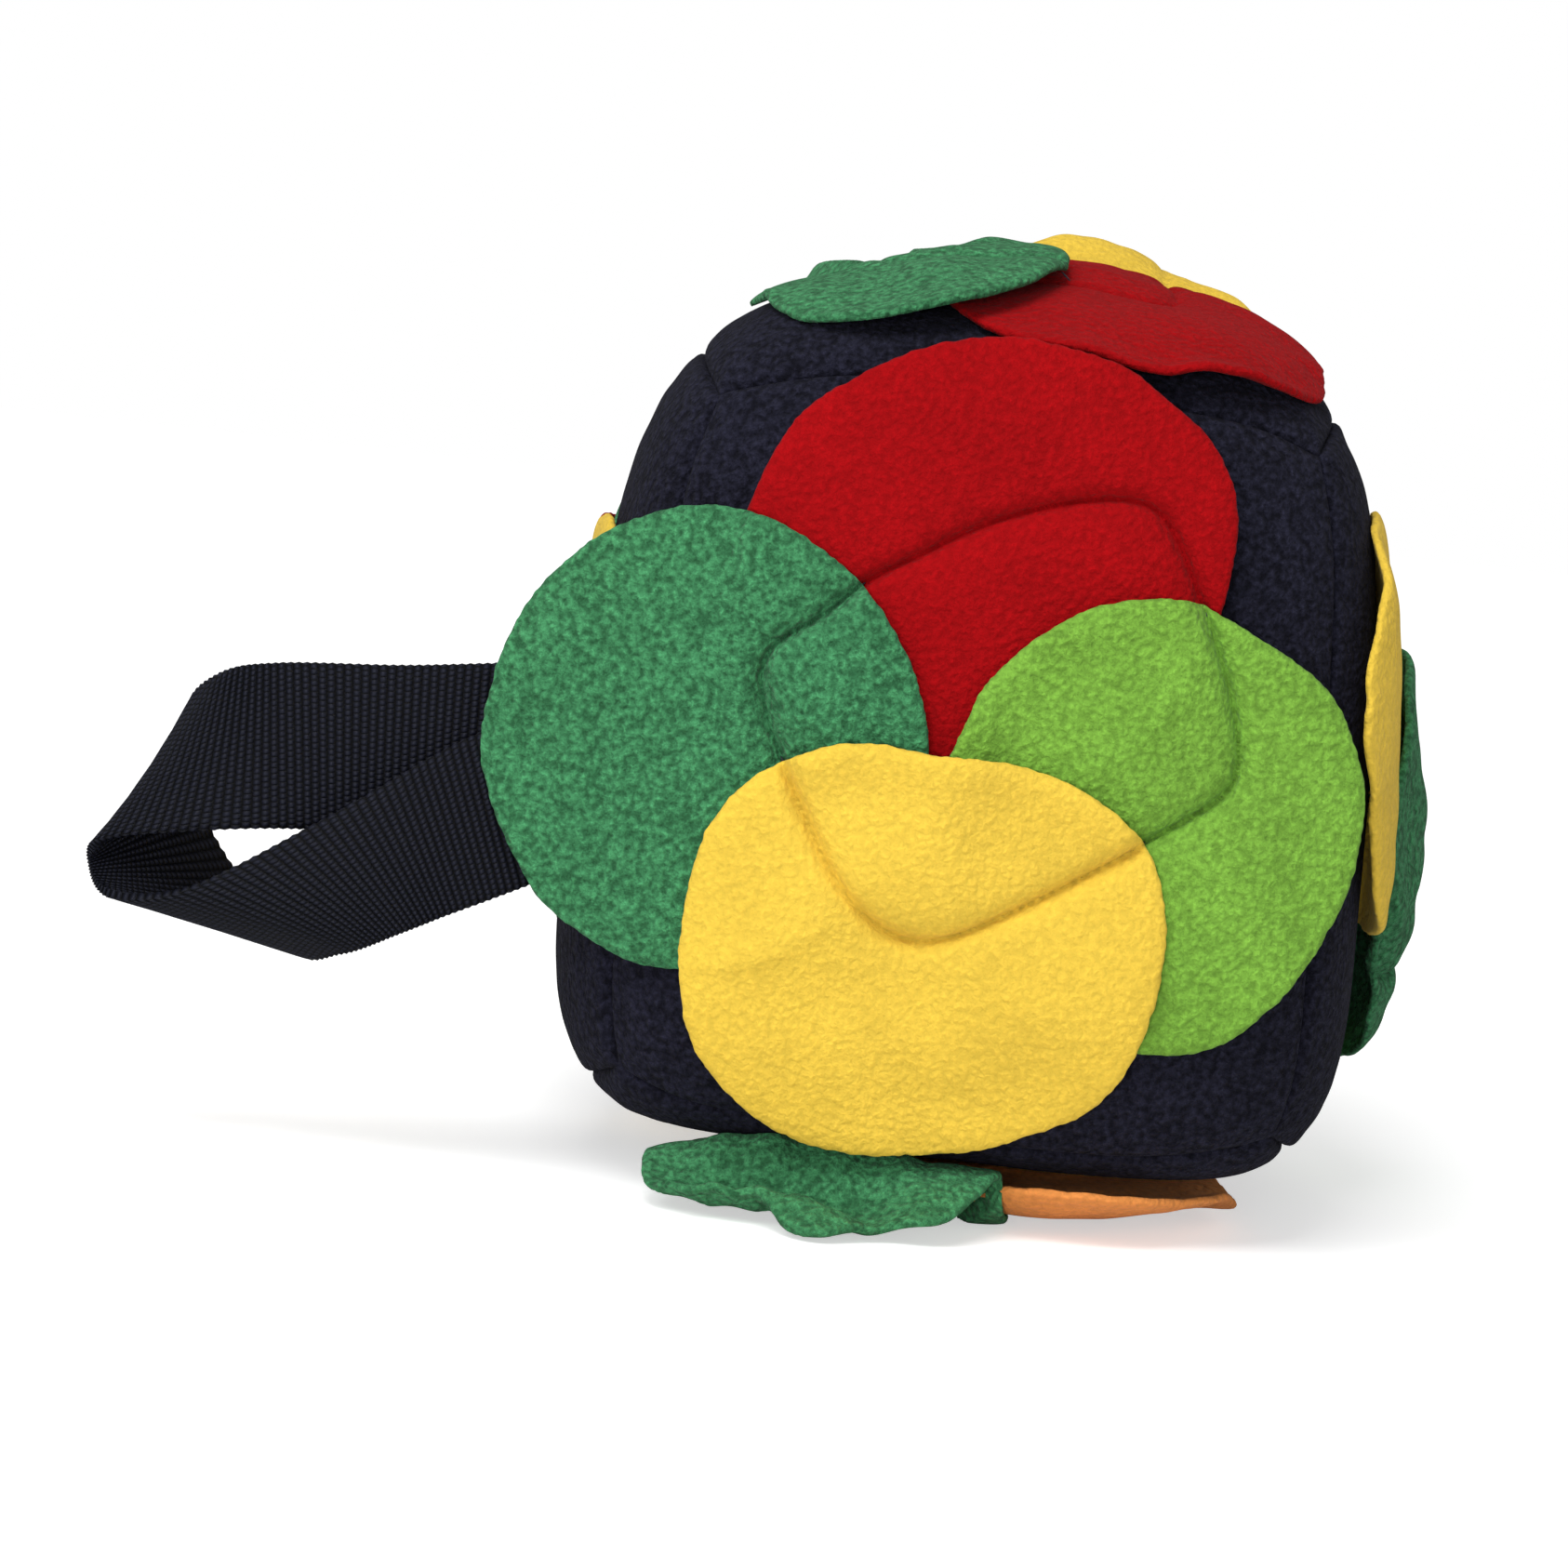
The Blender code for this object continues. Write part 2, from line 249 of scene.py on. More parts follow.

# %% [markdown]
# ## Brushed fleece
# Polar fleece is knitted, brushed up and then tumbled until its fibres curl into small pills. From near by
# it is a matt cloth with a pebbled nap: the pills catch the light, the gaps between them are darker, and a
# faint sheen shows on surfaces that turn away. One function makes every colour of it. Cells give the pills,
# noise pushes them out of shape, and finer noise stands for the single fibres. The same patterns paint the
# colour darker in the gaps and lighter on the pills and the raised fibres, which is painted shade and painted
# highlight on top of the bump. The patterns read Object coordinates in metres, so the nap has the same scale
# on each piece. How much of the relief and of its painted shade shows differs with the colour, because light
# wanders further in pale fibres.

# %% Fleece material
pill_size = 1.9 * mm
pill_push = 0.9 * mm
pill_smoothness = 0.35
clump_size = 2.6 * mm
clump_share = 0.45                      # the rest of the nap's relief comes from the round pills
fibre_size = 0.5 * mm
fibre_share = 0.25
mottle_size = 24 * mm
nap_height = 1.1 * mm
# The gaps between the pills are painted darker and the pills lighter: painted shade and painted highlight.
gap_painted_shade, pill_painted_highlight = 0.42, 0.30      # how much darker the gaps are and how much lighter the pills
# The raised fibres are painted lighter and the low ones darker: painted light and shade that follow the fibre
# bump.
fibre_painted_shading = 0.22
mottle_contrast = 0.05
bump_least = 0.35
plain_sheen_tint = 0.35
noise_range = (0.3, 0.7)                # where most of a noise's values lie
pill_range = (0.15, 0.85)
mottle_range = (0.35, 0.65)
cell_top, cell_edge = 0.1, 0.75         # distances from the middle of a pill to its top and to its foot


def add_noise(tree, coordinates, size, detail, roughness=0.5, distortion=0.0, output="Fac"):
    values = {"Scale": 1 / size, "Detail": detail, "Roughness": roughness, "Distortion": distortion}
    return add_node(tree, "ShaderNodeTexNoise", {**values, "Vector": coordinates})[output]


def dress(tree, colour, shade, height=None, strength=1, depth=1):
    """Gives the shader a relief and a shaded colour, painted light and shade where it follows the relief."""
    shader = tree.nodes["Principled BSDF"]
    shaded = add_node(tree, "ShaderNodeVectorMath", {0: colour, "Scale": shade}, operation="SCALE")[0]
    set_inputs(shader, {"Base Color": shaded})
    if height is not None:
        bump = add_node(tree, "ShaderNodeBump", {"Strength": strength, "Distance": depth, "Height": height})
        set_inputs(shader, {"Normal": bump["Normal"]})


def add_pills(tree, coordinates):
    """Height of the pebbled nap, about 0 between the pills and 1 on them."""
    clump_colour = add_noise(tree, coordinates, clump_size, 2, output="Color")
    pushed = add_node(tree, "ShaderNodeVectorMath", {
        0: clump_colour, 1: (2 * pill_push,) * 3, 2: coordinates}, operation="MULTIPLY_ADD")[0]
    cells = add_node(tree, "ShaderNodeTexVoronoi", {"Scale": 1 / pill_size, "Smoothness": pill_smoothness,
                                                    "Vector": pushed}, feature="SMOOTH_F1")
    round_top = add_range(tree, cells["Distance"], cell_top, cell_edge, 1, 0)
    clumps = add_range(tree, add_noise(tree, coordinates, clump_size / 2, 2), *noise_range, 0, 1)
    return add_math(tree, "ADD", multiply(tree, round_top, 1 - clump_share),
                    multiply(tree, clumps, clump_share))


def make_fleece(name, colour, relief, sheen=0.15):
    tint = [plain_sheen_tint + (1 - plain_sheen_tint) * channel for channel in colour]
    material, tree, coordinates = start_material(
        name, Roughness=0.95, Specular_IOR_Level=0.08, Sheen_Weight=sheen, Sheen_Roughness=0.4,
        Sheen_Tint=(*tint, 1))
    pills = add_pills(tree, coordinates)
    fibres = add_noise(tree, coordinates, fibre_size, 2, 0.6, 1.0)
    mottle = add_noise(tree, coordinates, mottle_size, 2)
    # relief sets both the bump and the painted shading. The gaps are painted darker and the pills and raised
    # fibres lighter, which is painted shade and painted highlight. The slow mottle is the cloth's own uneven
    # tone.
    painted_fibre_shading = fibre_painted_shading * relief
    shade = multiply(
        tree, add_range(tree, pills, *pill_range, 1 - gap_painted_shade * relief, 1 + pill_painted_highlight * relief),
        add_range(tree, fibres, *noise_range, 1 - painted_fibre_shading, 1 + painted_fibre_shading),
        add_range(tree, mottle, *mottle_range, 1 - mottle_contrast, 1 + mottle_contrast))
    height = add_math(tree, "ADD", pills, multiply(tree, fibres, fibre_share))
    dress(tree, colour, shade, height, min(1, bump_least + (1 - bump_least) * relief), nap_height)
    return material


fleece = {
    "navy": make_fleece("navy_fleece", (0.0135, 0.0135, 0.0250), relief=1.5, sheen=0.03),
    "green": make_fleece("green_fleece", (0.053, 0.232, 0.096), relief=1.25),
    # The petal named dark green is cut from the same green fleece. Its material is that green made a little
    # darker, painted shade for the right side of the cube, which the lamps light less.
    "dark_green": make_fleece("dark_green_fleece", (0.047, 0.205, 0.086), relief=1.25),
    "red": make_fleece("red_fleece", (0.318, 0.0022, 0.0040), relief=0.4, sheen=0.05),
    "yellow": make_fleece("yellow_fleece", (0.790, 0.535, 0.062), relief=0.24),
    "lime": make_fleece("lime_fleece", (0.186, 0.396, 0.050), relief=0.65),
    "orange": make_fleece("orange_fleece", (0.830, 0.300, 0.075), relief=0.3),
}
print("fleece colours:", sorted(fleece))

# %% [markdown]
# ## The shape of the body
# Six square panels sewn along twelve edges and filled with fibre make a ball-like cube: the faces swell, the
# edges turn round, and each seam sits in a groove. A rounded cube of this kind has a short formula: the
# powers of its three coordinates add up to one. The number of the power says how square it is. The filling
# has settled, so the body is a little wider below than above. The top panel stands fullest, and the bottom
# is pressed flat where the toy rests.

# %% Rounded cube
roundness = 4.2
seam_to_middle = 99.5 * mm     # height of the rounded cube before its top swells and its base is pressed
half_body = np.array([distance["right"], distance["front"], seam_to_middle])
top_swell = distance["top"] - seam_to_middle
swell_power = 6
base_softness = 2.5 * mm
small = 1e-6                   # keeps roots and divisions away from nothing
settling = 0.05                # share by which the body is wider below its middle and narrower above it
base_flare = 0.035             # and wider again near its base, where the filling has sunk into the corners


def settle(height):
    """Heights of the rounded cube after the top has swelled and the base is pressed."""
    swelled = height + top_swell * np.clip(height / seam_to_middle, 0, 1) ** swell_power
    pressed = np.logaddexp(height / base_softness, -distance["base"] / base_softness) * base_softness
    return np.where(height > 0, swelled, pressed)


def width_at(height):
    """How many times wider the settled body is at a height."""
    share = height / seam_to_middle
    return 1 - settling * share + base_flare * np.maximum(-share, 0) ** 2


def body_points(cube):
    """Points of the soft body for points on the sides of a cube that runs from -1 to 1."""
    size = (np.abs(cube) ** roundness).sum(1) ** (-1 / roundness)
    points = cube * size[:, None] * half_body
    points[:, :2] *= width_at(points[:, 2])[:, None]
    points[:, 2] = settle(points[:, 2])
    return points


def root_of_rest(first, second):
    """The third coordinate of a point on the rounded cube, as a share of its half size."""
    rest = 1 - np.abs(first) ** roundness - np.abs(second) ** roundness
    return np.clip(rest, small, 1) ** (1 / roundness)


def body_height(face, u, v):
    """Height of the body above the middle of the cube, over places on a face."""
    normal, right, up = (np.array(axis) for axis in FACES[face])
    across, above, out = (np.abs(axis) @ half_body for axis in (right, up, normal))
    if normal[2] == 0:
        width = width_at(v)
        return out * width * root_of_rest(u / across / width, v / above)
    height = out * root_of_rest(u / across, v / above)
    for _ in range(3):  # the width depends on the height, so both are found together
        width = width_at(height * normal[2])
        height = out * root_of_rest(u / across / width, v / above / width)
    return np.abs(settle(height * normal[2]))


print("body half sizes in mm:", (half_body / mm).round(1))

# %% [markdown]
# ## Flowers: places, stacking order and outlines
# Each flower is four discs of fleece that overlap like dealt cards. One closed row of stitches in the shape
# of a rounded square goes through all four, so each petal keeps a free outer part and a pocket behind it.
# Where a petal lies is read from the frame's solids: how far they reach along the petal's own direction and
# across it. The petals that the picture shows well have outlines of their own, because hand-cut discs that
# are pulled in by stitches and folds are not quite round. Such an outline is a middle and 12 or 24 radii at
# even angles, as shares of the radius the disc was cut with. Hidden petals on the top and the sides have
# outlines too, which keep them from showing past the body.

# %% Petals of each face
cut_radius = 55 * mm
stacking = {  # from the panel outwards
    "front": ("red", "green", "lime", "yellow"),
    "back": ("red", "lime", "green", "yellow"),
    "right": ("red", "lime", "yellow", "dark_green"),
    "left": ("lime", "green", "yellow", "red"),
    "top": ("lime", "yellow", "red", "green"),
    "base": ("yellow", "red", "orange", "green"),
}
outlines = {  # middle in millimetres, then radii from the face's right-hand direction, anticlockwise
    ("front", "red"): ((-2, 43), (0.91, 1.02, 0.99, 0.98, 0.98, 1.03, 1.02, 0.96, 0.92, 0.88, 0.87, 0.87)),
    ("front", "green"): ((-63, 1.5), (0.91, 0.90, 0.91, 0.945, 0.915, 0.88,
                                      0.88, 0.89, 0.925, 0.93, 0.91, 0.89)),
    ("front", "lime"): ((32, -6), (0.95, 0.965, 0.91, 0.90, 0.84, 0.77,
                                   0.755, 0.80, 0.86, 0.92, 0.985, 0.935)),
    ("front", "yellow"): ((-10, -39), (0.97, 0.99, 0.88, 0.80, 0.905, 0.97,
                                       0.96, 0.99, 0.94, 0.86, 0.88, 0.96)),
    ("top", "green"): ((-26, -25), (0.64, 0.66, 0.94, 1.10, 1.04, 0.79, 0.62, 0.71, 0.84, 0.87, 0.80, 0.69)),
    ("top", "red"): ((27, -36), (0.78, 0.80, 0.84, 0.84, 0.84, 0.84, 0.84, 0.89, 0.86, 0.82, 0.87, 0.84)),
    ("top", "yellow"): ((20, 24), (0.88, 0.88, 0.88, 0.90, 0.90, 0.88, 0.86, 0.86, 0.86, 0.86, 0.86, 0.88)),
    ("top", "lime"): ((-4, 32), (0.85,) * 12),
    ("base", "green"): ((-27, 50), (0.80, 0.85, 0.92, 1.02, 1.09, 1.02, 1.11, 0.96, 1.00, 0.98, 0.82, 0.69,
                                    0.65, 0.67, 0.73, 0.78, 0.84, 0.89, 0.95, 0.93, 0.91, 0.89, 0.85, 0.82)),
    ("base", "orange"): ((30, 28), (0.76, 0.80, 0.85, 0.92, 0.99, 1.08, 1.09, 1.06, 0.86, 0.68, 0.69, 0.77,
                                    0.87, 0.91, 0.95, 0.95, 0.95, 0.95, 0.95, 0.91, 0.87, 0.84, 0.80, 0.76)),
    ("right", "yellow"): ((-36, 14), (0.86, 0.88, 0.90, 0.94, 0.96, 0.86,
                                      0.80, 0.80, 0.84, 0.85, 0.86, 0.86)),
    ("right", "dark_green"): ((32, -16), (0.88, 0.86, 0.84, 0.85, 0.96, 1.03,
                                          1.03, 1.03, 1.06, 0.96, 0.88, 0.88)),
    ("right", "red"): ((40, 32), (0.85,) * 12),
    ("right", "lime"): ((40, -36), (0.84,) * 12),
    ("left", "green"): ((-44, 10), (0.83, 0.80, 0.72, 0.72, 0.80, 0.86, 0.88, 0.86) + (0.83,) * 4),
    ("left", "lime"): ((-40, -18), (0.83,) * 12),
    ("left", "red"): ((-40, 0), (0.92, 0.90, 0.82, 0.78, 0.82, 0.90, 0.92, 0.90, 0.82, 0.78, 0.82, 0.90)),
    ("left", "yellow"): ((34, 0), (0.76, 0.84, 0.86, 0.84, 0.86, 0.88, 0.88, 0.88, 0.86, 0.84, 0.86, 0.84)),
}
stitch_to_fold = 4 * mm
soft_margin = 0.96               # share of its solids' half size that a petal without an outline takes
joints = {joint["child"]: joint for joint in frame["joints"]}


class Petal:
    """A fleece disc, with its place on its face as the frame has it, or as the picture shows it."""

    def __init__(self, face, colour):
        self.face, self.colour, self.layer = face, colour, stacking[face].index(colour)
        self.name = f"{face}_{colour}_petal"
        self.body = f"{face}_{colour}_flap"
        normal, right, up = FACES[face]
        joint = joints[self.body]
        self.hinge = Vector(joint["pos_m"])
        self.out_3d = normal.cross(Vector(joint["axis"])).normalized()
        self.out = np.array([self.out_3d.dot(right), self.out_3d.dot(up)])
        self.fold = (self.hinge - cube_middle).dot(self.out_3d)
        if (face, colour) in outlines:
            middle, shares = outlines[face, colour]
            self.middle, self.radii = np.array(middle) * mm, np.array(shares) * cut_radius
        else:
            self.middle, self.radii = self.measure()

    def measure(self):
        """Middle and radii of the ellipse that the petal's solids fill."""
        right, up = FACES[self.face][1:]
        across = np.array([-self.out[1], self.out[0]])
        flat = []
        for node in (f"{self.name}_sewn", f"{self.name}_flap"):
            for vertex in frame["nodes"][node].data.vertices:
                place = vertex.co - cube_middle
                flat.append((place.dot(right), place.dot(up)))
        ranges = [(side.min(), side.max()) for side in (np.array(flat) @ self.out, np.array(flat) @ across)]
        middle = sum(ranges[0]) / 2 * self.out + sum(ranges[1]) / 2 * across
        half_out, half_across = (soft_margin * (high - low) / 2 for low, high in ranges)
        turns = np.arange(12) * math.pi / 6 - math.atan2(self.out[1], self.out[0])
        return middle, 1 / np.hypot(np.cos(turns) / half_out, np.sin(turns) / half_across)

    def radius(self, angle):
        """Radius of the outline in any direction, smoothly between the given ones."""
        count = len(self.radii)
        turn = np.mod(angle, math.tau) / (math.tau / count)
        low = np.floor(turn).astype(int)
        part = turn - low
        before, here, there, after = (self.radii[(low + step) % count] for step in (-1, 0, 1, 2))
        bend = here * (2 - 5 * part**2 + 3 * part**3) + there * (part + 4 * part**2 - 3 * part**3)
        return (bend + before * (2 * part**2 - part - part**3) + after * (part**3 - part**2)) / 2


petals = {face: [Petal(face, colour) for colour in order] for face, order in stacking.items()}
for petal in petals["front"]:
    print(petal.name, "middle", (petal.middle / mm).round(1), "fold", round(petal.fold / mm, 1))

# %% [markdown]
# The stitch line of the front flower is the one in the picture, a square with uneven sides and one wide
# bend. The other flowers get an even square, with its corners on the petals and each corner turned in a
# soft bend. The points along the line are needed twice: to pull the cloth in, and to lay the thread.

# %% Stitch lines
corner_radius = 9 * mm
corner_points = 12
widest_corner = 50 * mm
corner_cuts = 3
stitch_sampling = 1 * mm
front_stitches = (  # millimetres, clockwise from the corner between the red and the green petal
    (-30, 41), (-39, 32), (-48, 26), (-51.5, 20), (-50, 11), (-45.5, 1), (-40, -9), (-31, -25), (-20.5, -35),
    (-11, -38), (0, -34), (19, -22.5), (36, -11), (46, -4), (54, 2), (56, 9), (53, 22), (47, 36), (41.5, 47),
    (36.5, 57), (31.5, 63), (24, 64.5), (13, 62.5), (2, 59), (-9, 54), (-19, 47.5),
)


def even_points(line, spacing):
    """Points at even spacing along a closed line."""
    closed = np.concatenate([line, line[:1]])
    lengths = np.concatenate([[0], np.cumsum(np.linalg.norm(np.diff(closed, axis=0), axis=1))])
    steps = np.linspace(0, lengths[-1], int(lengths[-1] / spacing), endpoint=False)
    return np.stack([np.interp(steps, lengths, closed[:, axis]) for axis in (0, 1)], axis=1)


def rounded(line, times):
    """A closed line with its corners cut and cut again."""
    for _ in range(times):
        following = np.roll(line, -1, axis=0)
        cuts = [0.75 * line + 0.25 * following, 0.25 * line + 0.75 * following]
        line = np.stack(cuts, axis=1).reshape(-1, 2)
    return line


def stitch_line(face):
    """Evenly spaced places along the stitches on a face."""
    if face == "front":
        return even_points(rounded(np.array(front_stitches) * mm, corner_cuts), stitch_sampling)
    order = sorted(petals[face], key=lambda petal: math.atan2(petal.out[1], petal.out[0]))
    corners = [petal.out * (petal.fold - stitch_to_fold) for petal in order]
    reach = sum(np.linalg.norm(corner) for corner in corners) / len(corners)
    corners = [corner / np.linalg.norm(corner) * min(reach, widest_corner) for corner in corners]
    line = []
    for index, corner in enumerate(corners):
        before, after = corners[index - 1], corners[(index + 1) % len(corners)]
        start = corner + (before - corner) / np.linalg.norm(before - corner) * corner_radius
        end = corner + (after - corner) / np.linalg.norm(after - corner) * corner_radius
        for share in np.linspace(0, 1, corner_points):
            line.append(start * (1 - share) ** 2 + corner * 2 * share * (1 - share) + end * share**2)
    return even_points(np.array(line), stitch_sampling)


stitches = {face: stitch_line(face) for face in FACES}
print("stitch points on the front flower:", len(stitches["front"]))

# %% [markdown]
# ## Draping the petals
# A full cloth simulation of 24 discs is slow and hard to aim. A height map does the same job for cloth that
# lies on a face: over a grid of places it keeps how high the topmost surface stands. Each petal in turn is
# laid on it. It is smoothed like a stiff cloth, kept above what is below it, and pulled down where the
# stitches hold it. Its own thickness is then added to the map for the next one. Beyond the body a petal
# stays nearly flat or droops, as far as its fall says.

# %% Height map
map_reach = 126 * mm
map_step = 1 * mm
map_line = np.arange(-map_reach, map_reach + map_step / 2, map_step)
map_u, map_v = np.meshgrid(map_line, map_line, indexing="ij")
cloth_thickness = 2.7 * mm
sewn_thickness = 1.0 * mm
clearance = 0.3 * mm
fall_reach = 100 * mm                    # at this distance stiff cloth has dropped by its face's fall
falls = {"front": 6 * mm, "back": 10 * mm, "right": 8 * mm, "left": 150 * mm, "top": 34 * mm, "base": 0}
close_falls = {("right", "red"): 150 * mm, ("right", "lime"): 150 * mm, ("left", "yellow"): 70 * mm}
puff = 0.7 * mm                          # how far the panel swells inside the stitches
blanket_reach = 5                        # steps of the map
blanket_passes = 40
far_away = 1.0                           # metres, further than anything on the map
tiny = 1e-9
edge_margin = 1.001                      # keeps the four grid points round a place on the map


def distance_to(points):
    """Distance of every place of the map from a line of points."""
    nearest = np.full(map_u.shape, far_away)
    for point in points:
        nearest = np.minimum(nearest, np.hypot(map_u - point[0], map_v - point[1]))
    return nearest


def inside_of(points):
    """Whether each place of the map lies inside a closed line."""
    inside = np.zeros(map_u.shape, bool)
    for start, end in zip(points, np.roll(points, -1, axis=0)):
        crosses = (start[1] > map_v) != (end[1] > map_v)
        rise = end[1] - start[1] if end[1] != start[1] else tiny
        inside ^= crosses & (map_u < (end[0] - start[0]) * (map_v - start[1]) / rise + start[0])
    return inside


def soften(field, passes):
    """Each pass mixes a place with its neighbours."""
    for _ in range(2 * passes):  # once along each direction, because the map is turned every time
        wide = np.pad(field, ((1, 1), (0, 0)), mode="edge")
        field = ((wide[:-2] + 2 * wide[1:-1] + wide[2:]) / 4).T
    return field


def soften_within(field, mask, passes):
    """Smooths a petal without letting in what lies outside it."""
    weight = soften(mask.astype(float), passes)
    return np.where(mask, soften(np.where(mask, field, 0), passes) / np.maximum(weight, small), field)


def blanket(field):
    """A smooth cover over the steps that the rims of lower petals make."""
    cover = field
    for _ in range(blanket_reach):
        wide = np.pad(cover, 1, mode="edge")
        cover = np.max([cover, wide[:-2, 1:-1], wide[2:, 1:-1], wide[1:-1, :-2], wide[1:-1, 2:]], axis=0)
    return np.maximum(soften(cover, blanket_passes), field)


def read_map(field, places):
    """Value of a map at any places, from the four grid points round each."""
    grid = np.clip((places + map_reach) / map_step, 0, len(map_line) - edge_margin)
    low = grid.astype(int)
    part = grid - low
    i, j = low[:, 0], low[:, 1]
    a, b = part[:, 0], part[:, 1]
    return (field[i, j] * (1 - a) * (1 - b) + field[i + 1, j] * a * (1 - b)
            + field[i, j + 1] * (1 - a) * b + field[i + 1, j + 1] * a * b)


print("height map:", map_u.shape)

# %% [markdown]
# The crease at the stitches is much finer than the map, so it is worked out for each point of a mesh from
# its true distance to the stitch line: a sharp cleft with soft shoulders. Every layer of cloth, and the
# panel under it, is drawn in by the same amount, so none of them cut each other.

# %% Crease at the stitches
cleft_depth, cleft_width = 2.5 * mm, 1.0 * mm
crease_shares = {"top": 0.35, "base": 0.5}      # these flowers are sewn less tightly
shoulder_depth, shoulder_reach = 0.45 * mm, 4.0 * mm
press_width = 1.6 * mm
places_at_once = 4000


def distance_from_line(places, line):
    """Distance of each place from a closed line, measured to its straight pieces."""
    found = np.empty(len(places))
    ends = np.roll(line, -1, axis=0)
    for start in range(0, len(places), places_at_once):
        part = places[start:start + places_at_once]
        nearest = ((part[:, None] - line[None]) ** 2).sum(2).argmin(1)
        best = np.full(len(part), np.inf)
        for piece in (nearest, nearest - 1):
            a, b = line[piece], ends[piece]
            along = ((part - a) * (b - a)).sum(1) / ((b - a) ** 2).sum(1)
            foot = a + np.clip(along, 0, 1)[:, None] * (b - a)
            best = np.minimum(best, np.linalg.norm(part - foot, axis=1))
        found[start:start + places_at_once] = best
    return found


def crease(stitch_distance, face):
    """How far the stitches draw the cloth in."""
    depth = (cleft_depth * np.exp(-stitch_distance / cleft_width)
             + shoulder_depth * np.exp(-((stitch_distance / shoulder_reach) ** 2)))
    return depth * crease_shares.get(face, 1)


def thickness_at(stitch_distance, face):
    """Thickness of the cloth, which the thread presses together at the stitches."""
    pressed = (cloth_thickness - sewn_thickness) * crease_shares.get(face, 1)
    return cloth_thickness - pressed * np.exp(-stitch_distance / press_width)


print("crease depth in mm:", round(crease(0, "front") / mm, 1))

# %% [markdown]
# Cloth is never quite flat. Wide, slow noise makes the free parts of the petals wave, more towards the rim
# and not at all at the stitches. Some petals lie in a way of their own in the picture: the curled one on
# top, the loose ones on the right and the crumpled one below. Small folds are added as ridges, each with a
# place, a direction, a length, a width and a height. Larger forms are given by pins, which are places where
# the height of the cloth is known, as a dressmaker would pin it.

